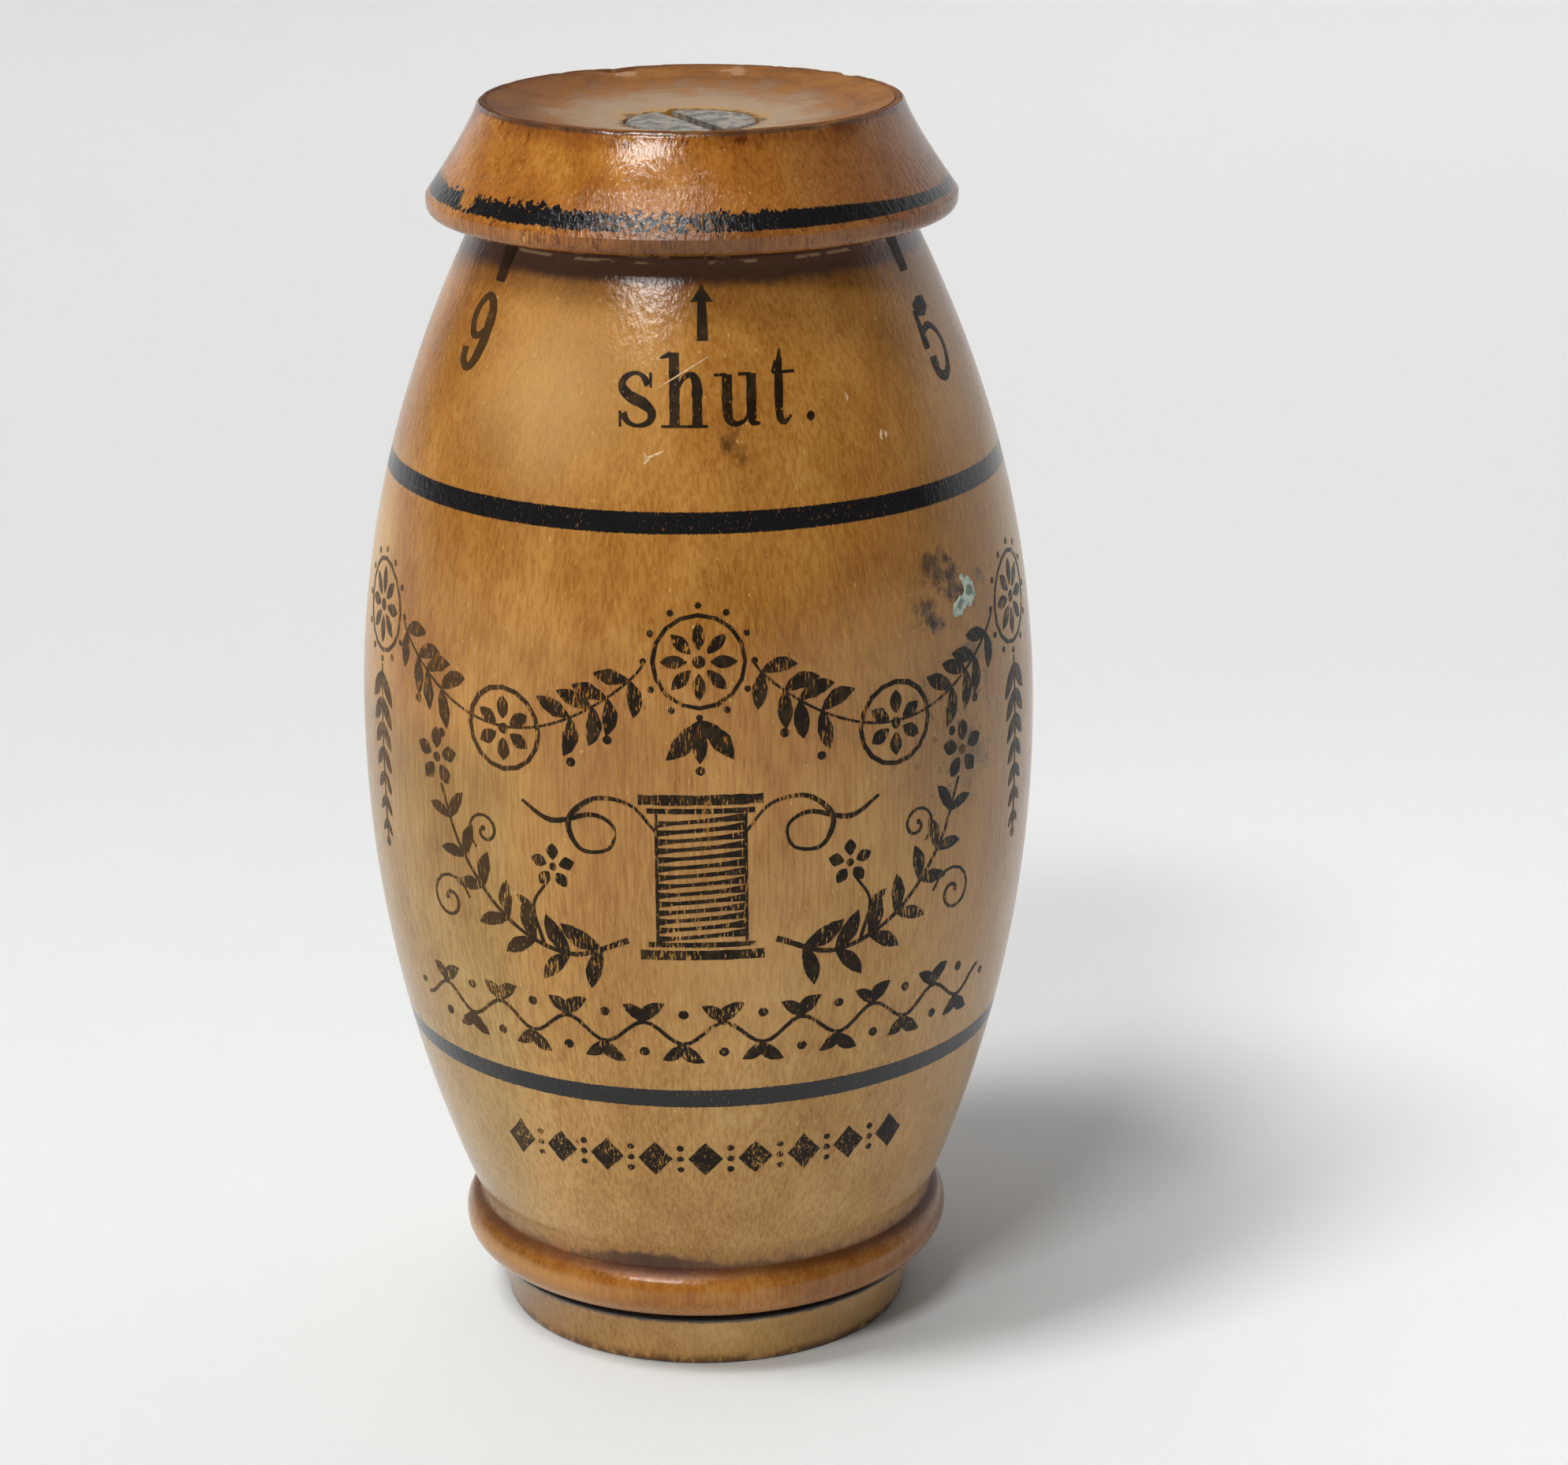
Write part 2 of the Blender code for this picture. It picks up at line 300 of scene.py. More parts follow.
class Finish:
    """One material: the fields that its nodes are written in, and its colour so far."""

    def __init__(self, name):
        self.material = bpy.data.materials.new(name)
        self.material.use_nodes = True
        self.tree = self.material.node_tree
        self.shader = self.tree.nodes["Principled BSDF"]
        place = self.node("TexCoord", {}, "Object")
        self.place = self.node("VectorMath", {0: place, 1: (1 / MM,) * 3}, operation="MULTIPLY")
        parts = self.tree.nodes.new("ShaderNodeSeparateXYZ")
        join(self.tree, parts.inputs[0], self.place)
        self.x, self.y, self.z = (Field(self.tree, out) for out in parts.outputs)
        self.radius = (self.x * self.x + self.y * self.y).op("SQRT")
        self.colour = None

    def node(self, kind, entries, output=0, **settings):
        made = self.tree.nodes.new("ShaderNode" + kind)
        for key, value in settings.items():
            setattr(made, key, value)
        for key, value in entries.items():
            join(self.tree, made.inputs[key], value)
        return Field(self.tree, made.outputs[output])

    def noise(self, size, tall=1.0, detail=2.0, rough=0.5, seed=0.0, place=None):
        """Noise with features of a size in millimetres, tall times longer along Z."""
        scale = (1 / size, 1 / size, 1 / (size * tall))
        spot = self.node("VectorMath", {0: place or self.place, 1: scale, 2: (seed, seed, seed)},
                         operation="MULTIPLY_ADD")
        return self.node("TexNoise", {"Vector": spot, "Scale": 1.0, "Detail": detail,
                                      "Roughness": rough})

    def away(self, point):
        """Distance from a point."""
        return self.node("VectorMath", {0: self.place, 1: point}, "Value", operation="DISTANCE")

    def near(self, angle, height, reach):
        """1 at a point of the barrel's surface, falling to 0 at a reach round it."""
        return self.away(on_barrel(angle, height)).rise(reach, 0.0)

    def mix(self, share, under, over, blend="MIX"):
        made = self.tree.nodes.new("ShaderNodeMix")
        made.data_type = "RGBA"
        made.blend_type = blend
        colours = [entry for entry in made.inputs if entry.type == "RGBA"]
        join(self.tree, made.inputs[0], share)
        join(self.tree, colours[0], under)
        join(self.tree, colours[1], over)
        return Field(self.tree, [out for out in made.outputs if out.type == "RGBA"][0])

    def paint(self, share, tint):
        """Lay a tint over the colour so far, by a share."""
        self.colour = self.mix(share, self.colour, tint)

    def stain(self, share, tint):
        """Darken the colour so far towards a clear tint, as grime does, by a share."""
        self.colour = self.mix(share, self.colour, tint, "MULTIPLY")

    def bump(self, height, depth, under=None):
        entries = {"Height": height, "Distance": depth * MM}
        if under:
            entries["Normal"] = under
        return self.node("Bump", entries)

    def set(self, **entries):
        """Put the colour and other values on the shader's entries, with _ for their spaces."""
        for name, value in {"Base_Color": self.colour, **entries}.items():
            join(self.tree, self.shader.inputs[name.replace("_", " ")], value)
        return self.material


def inset(x, y, z, spread):
    """How far the visible wood lies inside the solid: a hand-worked surface is uneven."""
    return skin + waviness * (0.5 + 0.5 * noise.noise(Vector((x, y, z * 0.6)) / spread))


def on_barrel(angle, height, lift=0.0):
    """Point on the barrel's surface, in millimetres."""
    turn = math.radians(angle)
    across, ahead = math.sin(turn), -math.cos(turn)
    radius = swell(height)
    radius += lift - inset(radius * across, radius * ahead, height, barrel_waves)
    return radius * across, radius * ahead, height


def swell(height):
    """Outer radius of the barrel's body at a height."""
    if height > belly_height:
        share = (height - belly_height) / (barrel_top - shoulder_edge - belly_height)
        return belly_radius - (belly_radius - shoulder_radius) * min(share, 1) ** upper_fullness
    share = (belly_height - height) / (belly_height - cove_top)
    return belly_radius - (belly_radius - cove_radius) * min(share, 1) ** lower_fullness


def elliptic_arc(centre, size, start, end, rows):
    """Points on an ellipse round a (radius, height) centre, between two angles."""
    angles = [start + (end - start) * row / rows for row in range(rows + 1)]
    return [(centre[0] + size[0] * math.cos(angle), centre[1] + size[1] * math.sin(angle))
            for angle in angles]


bead_centre = ring_height + groove_width + bead_half_height
bead_top_angle = math.acos((crease_radius - bead_root_radius) / (bead_radius - bead_root_radius))
crease_height = bead_centre + bead_half_height * math.sin(bead_top_angle)
cove_top = crease_height + cove_height
cove_radius = crease_radius + cove_flare


def add_object(name, mesh, coat):
    thing = bpy.data.objects.new(name, mesh)
    mesh.materials.append(coat)
    bpy.context.collection.objects.link(thing)
    return thing


def turned_mesh(name, outline, steps, shape, closed=False, smooth_angle=32):
    """Turn a half-section of (radius, height) points, with shape bending each vertex."""
    bm = bmesh.new()
    rings = []
    for radius, height in outline:
        count = steps if radius else 1
        ring = []
        for step in range(count):
            turn = 2 * math.pi * step / count
            point = Vector((radius * math.sin(turn), -radius * math.cos(turn), height))
            ring.append(bm.verts.new(shape(point, radius) * MM))
        rings.append(ring)
    pairs = list(zip(rings, rings[1:])) + ([(rings[-1], rings[0])] if closed else [])
    for upper, lower in pairs:
        for step in range(steps):
            corners = [upper[step % len(upper)], upper[(step + 1) % len(upper)],
                       lower[(step + 1) % len(lower)], lower[step % len(lower)]]
            bm.faces.new(list(dict.fromkeys(corners)))
    bmesh.ops.recalc_face_normals(bm, faces=bm.faces)
    mesh = bpy.data.meshes.new(name)
    bm.to_mesh(mesh)
    bm.free()
    mesh.shade_smooth()
    mesh.set_sharp_from_angle(angle=math.radians(smooth_angle))
    return mesh


def bore(thing, places, radius, low, high, steps=64):
    """Cut upright round holes out of a piece and keep the result as its mesh."""
    bm = bmesh.new()
    for x, y in places:
        centre = Matrix.Translation(Vector((x, y, (low + high) / 2)) * MM)
        bmesh.ops.create_cone(bm, cap_ends=True, segments=steps, radius1=radius * MM,
                              radius2=radius * MM, depth=(high - low) * MM, matrix=centre)
    carve(thing, bm)


def carve(thing, bm):
    """Take a cutter's volume out of a piece with a Boolean, and apply it."""
    mesh = bpy.data.meshes.new("cutter")
    bm.to_mesh(mesh)
    bm.free()
    cutter = bpy.data.objects.new("cutter", mesh)
    bpy.context.collection.objects.link(cutter)
    modifier = thing.modifiers.new("cut", "BOOLEAN")
    modifier.operation = "DIFFERENCE"
    modifier.solver = "EXACT"
    modifier.object = cutter
    evaluated = thing.evaluated_get(bpy.context.evaluated_depsgraph_get())
    thing.data = bpy.data.meshes.new_from_object(evaluated)
    thing.modifiers.clear()
    bpy.data.objects.remove(cutter)


def barrel_outline():
    """Half-section from the pilot hole's floor, over the land and down the outside to the base."""
    top = barrel_top - shoulder_edge
    hole_floor = screw_tip - pilot_room
    points = [(0, hole_floor), (hole_radius, hole_floor), (hole_radius, barrel_top),
              (land_step, barrel_top)]
    points += elliptic_arc((shoulder_radius - shoulder_edge, top), (shoulder_edge, shoulder_edge),
                           math.pi / 2, 0, rows=6)[:-1]
    points += [(swell(height), height)
               for height in (top + (cove_top - top) * row / body_rows for row in range(body_rows + 1))]
    rows = 10
    points += [(crease_radius + cove_flare * (row / rows) ** cove_hollow,
                crease_height + cove_height * row / rows) for row in range(rows - 1, -1, -1)]
    points += elliptic_arc((bead_root_radius, bead_centre),
                           (bead_radius - bead_root_radius, bead_half_height),
                           bead_top_angle, -math.pi / 2, rows=26)[1:]
    groove_radius = ring_radius - groove_depth
    points += [(groove_radius, ring_height + groove_width * 0.85),
               (groove_radius, ring_height + groove_width * 0.2),
               (ring_radius - 0.06, ring_height), (ring_radius, ring_height - ring_round)]
    points += [(ring_radius + (base_radius - ring_radius) * row / rows
                - ring_hollow * math.sin(math.pi * row / rows),
                ring_height - ring_round + (base_edge - ring_height + ring_round) * row / rows)
               for row in range(1, rows)]
    points += elliptic_arc((base_radius - base_edge, base_edge), (base_edge, base_edge),
                           0, -math.pi / 2, rows=5)
    return points + [(base_step, 0), (0, 0)]


def barrel_shape(point, radius):
    """Draw the outer wood a little inside the solid, with a hand-turned unevenness."""
    if radius > hole_radius and point.z > 0:
        share = 1 - inset(*point, barrel_waves) / radius
        point = Vector((point.x * share, point.y * share, point.z))
    return point


def make_barrel(coat):
    """The turned barrel, bored at the places of the record's compartments."""
    mesh = turned_mesh("barrel_wood", barrel_outline(), wood_steps, barrel_shape)
    barrel = add_object("barrel_wood", mesh, coat)
    boxes = [opening["box_m"] for opening in frame["record"]["physics"]["openings"]
             if opening["name"].startswith("compartment")]
    places = [((low[0] + high[0]) / 2 / MM, (low[1] + high[1]) / 2 / MM) for low, high in boxes]
    bore(barrel, places, bore_radius, compartment_floor, barrel_top + overrun)
    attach(barrel, "barrel")
    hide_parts("barrel")


def thread_shape(point, radius):
    """Cut a tapering thread into the shank: a sharp ridge that climbs one pitch in a turn."""
    if not radius or point.z > thread_top:
        return point
    phase = (point.z / thread_pitch - math.atan2(point.x, -point.y) / (2 * math.pi)) % 1
    ridge = 1 - abs(2 * phase - 1)
    run_out = min(1, (thread_top - point.z) / thread_pitch)
    taper = min(1, (point.z - screw_tip) / thread_taper)
    target = taper * (thread_root_radius + (shank_radius - thread_root_radius) * ridge * run_out)
    return Vector((point.x * target / radius, point.y * target / radius, point.z))


def make_screw(coat):
    """Countersunk wood screw with a turned head, a filed slot and a full thread."""
    head_low = screw_top - head_edge
    rows = math.ceil((thread_top - screw_tip) / thread_pitch * thread_rows)
    points = [(0, screw_tip)]
    points += [(shank_radius, screw_tip + (thread_top - screw_tip) * row / rows)
               for row in range(1, rows + 1)]
    points += [(shank_radius, thread_top + 0.05), (shank_radius, head_low - head_radius + shank_radius),
               (head_radius - 0.03, head_low), (head_radius, head_low + 0.04),
               (head_radius, screw_top - head_bevel), (head_radius - head_bevel, screw_top),
               (head_step, screw_top), (0, screw_top)]
    mesh = turned_mesh("pivot_screw_iron", points, screw_steps, thread_shape)
    screw = add_object("pivot_screw_iron", mesh, coat)
    size = Vector((3 * head_radius, slot_width, 2 * slot_depth))
    turn = Matrix.Rotation(math.radians(slot_angle), 3, "Z")
    bm = bmesh.new()
    place = Matrix.LocRotScale(Vector((0, 0, screw_top)) * MM, turn, size * MM)
    bmesh.ops.create_cube(bm, size=1, matrix=place)
    carve(screw, bm)
    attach(screw, "barrel")
    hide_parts("pivot_screw")


def flare(height):
    """Radius of the cap's flank at a height."""
    share = (cap_top - height) / (cap_top - cap_bottom - brim_height)
    return rim_radius + (brim_radius - rim_radius) * max(share, 0) ** flare_fullness


def dish_height(radius):
    """Height of the dish's hollow at a radius."""
    return cap_top - dish_depth * (1 - (radius / rim_inner_radius) ** 2)


def cap_outline():
    """Closed half-section: up the screw's hole, out over the dish and rim, down the flank."""
    seat = head_radius + seat_gap
    head_low = screw_top - head_edge
    points = [(hole_radius, cap_bottom), (hole_radius, head_low - (head_radius - shank_radius)),
              (seat, head_low), (seat + 0.02, dish_height(seat) - 0.05)]
    points += [(radius, dish_height(radius))
               for radius in (seat + seat_edge + (rim_inner_radius - rim_root - seat) * row / cap_rows
                              for row in range(cap_rows + 1))]
    middle = (rim_radius + rim_inner_radius) / 2
    points += elliptic_arc((middle, cap_top - rim_round), (rim_radius - middle, rim_round),
                           math.pi, 0, rows=8)[1:-1]
    low, high = cap_bottom + brim_height, cap_top - rim_round
    points += [(flare(height), height)
               for height in (high + (low - high) * row / cap_rows for row in range(cap_rows + 1))]
    points += elliptic_arc((brim_radius - brim_edge, cap_bottom + brim_edge_rise),
                           (brim_edge, brim_edge_rise), 0, -math.pi / 2, rows=7)
    return points + [(brim_step, cap_bottom), (land_step, cap_bottom)]


def bell(value, width):
    """1 at zero, falling smoothly to nothing a few widths away."""
    return math.exp(-(value / width) ** 2)


def cap_shape(point, radius):
    """Weather the cap: an uneven flare, a nicked and dented rim, a ragged countersink."""
    if radius <= head_radius:
        return point
    rough = noise.noise(point * 1.9)
    fine = noise.noise(point * 5.0)
    height = point.z
    share = 1.0
    if radius > rim_inner_radius or height < cap_bottom + brim_height:
        share -= inset(*point, cap_waves) / radius
    if height > cap_top - rim_worn_height and radius > rim_inner_radius - rim_worn_width:
        height -= rim_wear * max(rough + 0.5 * fine, 0)
        for angle, depth, width, reach in rim_marks:
            turn = math.radians(angle)
            along = Vector((point.x, point.y)) - rim_radius * Vector((math.sin(turn), -math.cos(turn)))
            height -= depth * bell(along.length, width) * bell(radius - reach, rim_mark_reach)
    in_dish = height > cap_top - dish_depth - 0.1
    ragged = bell(radius - head_radius, countersink_reach) if in_dish else 0
    height -= ragged * countersink_wear * (0.5 + rough + 0.6 * fine)
    return Vector((point.x * share, point.y * share, height))


def make_cap(side_coat, hollow_coat):
    """The turned cap with its mouth; the faces of the dish have a coat of their own."""
    mesh = turned_mesh("cap_wood", cap_outline(), wood_steps, cap_shape, closed=True)
    cap = add_object("cap_wood", mesh, side_coat)
    mesh.materials.append(hollow_coat)
    floor = cap_top - dish_depth - dish_below
    for face in mesh.polygons:
        centre = face.center / MM
        inside = centre.xy.length < rim_radius - dish_within and centre.z > floor
        face.material_index = int(inside and face.normal.z > 0.5)
    bore(cap, [(0, -mouth_centre)], mouth_radius, cap_bottom - overrun, cap_top + overrun)
    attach(cap, "cap")
    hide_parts("cap")


def smooth_path(points, step=stroke_step, least=3):
    """Points of a Catmull-Rom curve through (across, height, width) points."""
    places = [Vector(point) for point in points]
    places = [2 * places[0] - places[1], *places, 2 * places[-1] - places[-2]]
    path = []
    for before, start, end, after in zip(places, places[1:], places[2:], places[3:]):
        rows = max(least, math.ceil((end - start).xy.length / step))
        for row in range(rows):
            share = row / rows
            path.append(0.5 * (2 * start + (end - before) * share
                               + (2 * before - 5 * start + 4 * end - after) * share ** 2
                               + (3 * start - before - 3 * end + after) * share ** 3))
    return path + [places[-2]]


def straight_path(points, step=stroke_step):
    """Points along straight runs between (across, height, width) points."""
    places = [Vector(point) for point in points]
    path = []
    for start, end in zip(places, places[1:]):
        rows = max(1, math.ceil((end - start).xy.length / step))
        path += [start.lerp(end, row / rows) for row in range(rows)]
    return path + [places[-1]]


class Drawing:
    """Flat strokes on the barrel, in millimetres across from an angle, and up from a base."""

    def __init__(self, lift=ink_lift, ragged=0.2):
        self.bm = bmesh.new()
        self.lift = lift
        self.ragged = ragged
        self.centre = 0.0
        self.base = 0.0
        self.side = 1
        self.count = 0

    def spot(self, place, lift):
        angle = self.centre + math.degrees(self.side * place.x / swell(place.y))
        return self.bm.verts.new(Vector(on_barrel(angle, place.y, lift)) * MM)

    def film(self, path):
        """One closed film along a path of (across, height, width) points."""
        lift = self.lift + ink_layer * (self.count % ink_layers)
        self.count += 1
        columns = max(1, math.ceil(max(point.z for point in path) / stroke_step))
        sheets = ([], [])
        for index, point in enumerate(path):
            run = (path[min(index + 1, len(path) - 1)] - path[max(index - 1, 0)]).xy
            across = Vector((-run.y, run.x)).normalized()
            uneven = noise.noise(Vector((point.x * 3.1, point.y * 3.1, self.centre)))
            width = max(point.z * (1 + self.ragged * uneven), 0.02)
            for sheet, height in zip(sheets, (lift, -ink_seat)):
                sheet.append([self.spot(point.xy + across * width * (column / columns - 0.5), height)
                              for column in range(columns + 1)])
        for sheet in sheets:
            for row, after in zip(sheet, sheet[1:]):
                for column in range(columns):
                    self.bm.faces.new((row[column], row[column + 1], after[column + 1], after[column]))
        rims = [[row[0] for row in sheet] + sheet[-1][1:] + [row[-1] for row in sheet[-2::-1]]
                + sheet[0][-2:0:-1] for sheet in sheets]
        for start in range(len(rims[0])):
            end = (start + 1) % len(rims[0])
            self.bm.faces.new((rims[0][start], rims[0][end], rims[1][end], rims[1][start]))

    def raised(self, points):
        return [(across, self.base + height, width) for across, height, width in points]

    def curve(self, *points):
        self.film(smooth_path(self.raised(points)))

    def line(self, *points):
        self.film(straight_path(self.raised(points)))

    def rule(self, start, end, width):
        """A straight line of one width between two (across, height) ends."""
        self.line((*start, width), (*end, width))

    def dot(self, across, height, size):
        reach = size / 2
        self.film([Vector((across + reach * math.sin(turn), self.base + height, size * math.cos(turn)))
                   for turn in (math.radians(angle) for angle in (-84, -60, -30, 0, 30, 60, 84))])

    def ring(self, across, height, radius, width):
        turns = [2 * math.pi * step / 16 for step in range(17)]
        self.film([Vector((across + radius * math.cos(turn), height + radius * math.sin(turn), width))
                   for turn in turns])

    def spiral(self, across, height, radius, heading, turns, width):
        """A tendril that winds inwards round a centre, from a heading in degrees."""
        steps = math.ceil(abs(turns) * 14)
        path = []
        for step in range(steps + 1):
            share = step / steps
            turn = math.radians(heading + 360 * turns * share)
            reach = radius * (1 - 0.86 * share)
            path.append(Vector((across + reach * math.cos(turn), height + reach * math.sin(turn),
                                width * (1 + 0.5 * share))))
        self.film(path)
        self.dot(path[-1].x, path[-1].y, width * 2.2)

    def leaf(self, across, height, heading, length, width, bend=0.0):
        """A pointed leaf from its root, with its heading in degrees from level."""
        turn = math.radians(heading)
        along = Vector((math.cos(turn), math.sin(turn)))
        beside = Vector((-along.y, along.x))
        points = []
        for share, fullness in ((0, 0.1), (0.2, 0.65), (0.5, 1.0), (0.78, 0.7), (1, 0.04)):
            place = Vector((across, height)) + along * length * share
            place += beside * bend * length * math.sin(math.pi * share)
            points.append((*place, width * fullness))
        self.curve(*points)

    def blossom(self, across, height, radius, petals, turn=90.0):
        """A round flower of leaf-shaped petals about a ring and a dot."""
        inner = radius * 0.3
        for petal in range(petals):
            heading = turn + 360 * petal / petals
            start = math.radians(heading)
            self.leaf(across + inner * math.cos(start), height + inner * math.sin(start), heading,
                      radius - inner, 2.6 * radius / petals)
        self.dot(across, height, radius * 0.34)

    def finish(self, name, material):
        """Turn the strokes into one piece that moves with the barrel."""
        bmesh.ops.recalc_face_normals(self.bm, faces=self.bm.faces)
        mesh = bpy.data.meshes.new(name)
        self.bm.to_mesh(mesh)
        self.bm.free()
        mesh.shade_smooth()
        mesh.set_sharp_from_angle(angle=math.radians(40))
        piece = add_object(name, mesh, material)
        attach(piece, "barrel")


def along_curve(points, share):
    """Place and heading in degrees at a share of the way along a smooth path."""
    index = min(int(share * (len(points) - 1)), len(points) - 2)
    run = (points[index + 1] - points[index]).xy
    return points[index].x, points[index].y, math.degrees(math.atan2(run.y, run.x))


def draw_digit(ink, digit):
    """A numeral of the dial in plain book style."""
    shapes = {
        5: [(ink.line, (-0.35, 3.3, 0.5), (0.3, 3.4, 0.95), (0.95, 3.55, 0.5)),
            (ink.line, (-0.42, 3.3, 0.3), (-0.4, 1.5, 0.55)),
            (ink.curve, (-0.3, 2.3, 0.3), (0.4, 2.5, 0.34), (1.05, 2.1, 0.28), (1.35, 1.4, 0.32),
             (1.1, 0.5, 0.4), (0.5, 0.08, 0.45), (-0.1, 0.35, 0.55), (-0.15, 1.1, 0.62))],
        6: [(ink.curve, (0.7, 2.8, 0.55), (0.35, 3.4, 0.4), (-0.1, 3.45, 0.4), (-0.6, 2.6, 0.55),
             (-0.75, 1.5, 0.6), (-0.6, 0.5, 0.55), (0.0, 0.08, 0.4), (0.6, 0.5, 0.5),
             (0.76, 1.15, 0.6), (0.5, 1.8, 0.5), (0.0, 2.0, 0.35), (-0.6, 1.5, 0.3))],
        7: [(ink.line, (-0.85, 3.3, 0.45), (-0.2, 3.4, 0.7), (0.3, 3.25, 0.7), (0.9, 3.5, 0.25)),
            (ink.curve, (0.85, 3.4, 0.2), (0.2, 2.2, 0.4), (-0.1, 1.1, 0.6), (-0.1, 0.1, 0.75))],
        8: [(ink.curve, (-0.5, 2.15, 0.3), (0.0, 1.85, 0.3), (0.5, 2.15, 0.4), (0.68, 2.75, 0.5),
             (0.45, 3.35, 0.42), (0.0, 3.5, 0.35), (-0.45, 3.35, 0.42), (-0.68, 2.75, 0.5),
             (-0.4, 2.05, 0.4), (0.0, 1.85, 0.35)),
            (ink.curve, (0.0, 1.85, 0.3), (0.6, 1.6, 0.45), (0.85, 1.0, 0.58), (0.6, 0.35, 0.48),
             (0.0, 0.12, 0.38), (-0.6, 0.35, 0.48), (-0.85, 1.0, 0.58), (-0.6, 1.6, 0.45),
             (0.0, 1.85, 0.3))],
        9: [(ink.curve, (-0.6, 0.95, 0.52), (-0.52, 0.35, 0.5), (0.0, 0.08, 0.42), (0.45, 0.6, 0.62),
             (0.7, 1.7, 0.66), (0.64, 2.9, 0.56), (0.1, 3.4, 0.38), (-0.4, 3.0, 0.42),
             (-0.6, 2.3, 0.5), (-0.35, 1.65, 0.42), (0.1, 1.55, 0.34), (0.55, 1.9, 0.3))],
    }
    for draw, *points in shapes[digit]:
        draw(*points)


def draw_dial(ink):
    """Sizes round the shoulder, each under its tick, and an arrow over the closed place."""
    for digit, angle, height, tick_angle in dial_marks:
        ink.centre, ink.base = angle, height
        draw_digit(ink, digit)
        ink.centre, ink.base = tick_angle, 0.0
        ink.line((0, tick_top, 0.98), (0, tick_top - tick_height, 0.72))
    ink.centre = arrow_angle
    ink.line((0, 56.46, 0.02), (0, 56.1, 0.5), (0, 55.7, 1.1))
    ink.line((0, 55.8, 0.4), (0, 54.9, 0.46), (0, 54.0, 0.54))


def draw_label(ink):
    """The closed position's name in plain roman letters."""
    ink.centre, ink.base = 0.0, label_base
    thin, thick = 0.13, 0.48
    letters = [
        # s
        [(-2.2, 1.85, 0.36), (-2.45, 2.25, 0.24), (-2.85, 2.38, 0.18), (-3.32, 2.15, 0.3),
         (-3.45, 1.75, 0.42), (-3.1, 1.35, 0.5), (-2.45, 1.05, 0.52), (-2.05, 0.65, 0.42),
         (-2.2, 0.22, 0.3), (-2.72, 0.05, 0.18), (-3.2, 0.2, 0.24), (-3.45, 0.6, 0.36)],
        # h: its arch
        [(-0.8, 1.7, thin), (-0.5, 2.2, 0.2), (-0.12, 2.3, 0.34), (0.09, 1.9, thick), (0.095, 1.3, thick)],
        # u: its bowl
        [(1.51, 0.9, thick), (1.58, 0.35, 0.42), (1.9, 0.1, 0.24), (2.3, 0.22, 0.16), (2.5, 0.5, thin)],
        # u: its tail
        [(2.67, 0.45, 0.46), (2.74, 0.14, 0.3), (3.08, 0.08, 0.1)],
        # t: its hook
        [(4.01, 0.9, 0.4), (4.05, 0.3, 0.38), (4.3, 0.06, 0.24), (4.62, 0.35, 0.12)],
    ]
    for letter in letters:
        ink.curve(*letter)
    stems = [(-0.97, 3.3, 0.05), (0.095, 1.5, 0.05), (1.51, 2.3, 0.7), (2.67, 2.3, 0.3)]
    for across, top, bottom in stems:
        ink.rule((across, top), (across, bottom), thick)
    ink.line((4.06, 3.3, 0.1), (4.03, 2.8, 0.3), (4.01, 2.2, 0.42), (4.01, 0.7, 0.4))
    bars = [(-1.6, -0.4, 0.04), (-0.4, 0.58, 0.04), (0.9, 1.5, 2.3), (2.05, 2.65, 2.3), (3.7, 4.8, 2.28)]
    for start, end, height in bars:
        ink.rule((start, height), (end, height), thin)
    ink.line((-1.62, 3.05, 0.1), (-1.1, 3.24, 0.26))
    ink.line((3.66, 2.3, 0.06), (3.92, 2.75, 0.3))
    for across, low, high in ((-2.08, 1.75, 2.42), (-3.58, -0.02, 0.68)):
        ink.rule((across, low), (across, high), thin)
    ink.dot(5.6, 0.22, 0.42)


def draw_swag(ink, start, end, height, sag):
    """A garland of leaf pairs and berries that hangs between two rosettes."""
    middle = (start + end) / 2
    cord = [Vector((start + (end - start) * row / 40,
                    height - sag * math.sin(math.pi * row / 40) ** 0.8, 0.13)) for row in range(41)]
    ink.film(cord)
    pairs = 15
    for pair in range(pairs):
        share = 0.04 + 0.92 * pair / (pairs - 1)
        across, level, heading = along_curve(cord, share)
        if abs(across - middle) < 3.0:
            continue
        if across > middle:
            heading += 180
        full = math.sin(math.pi * share)
        for lean in (52, -52):
            ink.leaf(across, level, heading + lean, 1.75 + 0.3 * full, 0.72 + 0.12 * full, 0.1 * (lean > 0))
        if pair % 2:
            ink.dot(across, level - 1.9 - 0.4 * full, 0.46)
    ink.blossom(middle, height - sag - 0.1, 1.6, 6)
    ink.ring(middle, height - sag - 0.1, 2.0, 0.24)


def draw_tassel(ink, across, high, low):
    """A hanging spray of leaf pairs that ends in a berry."""
    ink.line((across, high, 0.12), (across, low, 0.12))
    pairs = 7
    for pair in range(pairs):
        share = pair / (pairs - 1)
        level = high - 0.4 - (high - low - 1.4) * share
        size = 1.0 - 0.5 * share
        for heading in (-50, -130):
            ink.leaf(across, level, heading, 2.0 * size, 0.76 * size)
    ink.dot(across, low - 0.2, 0.5)


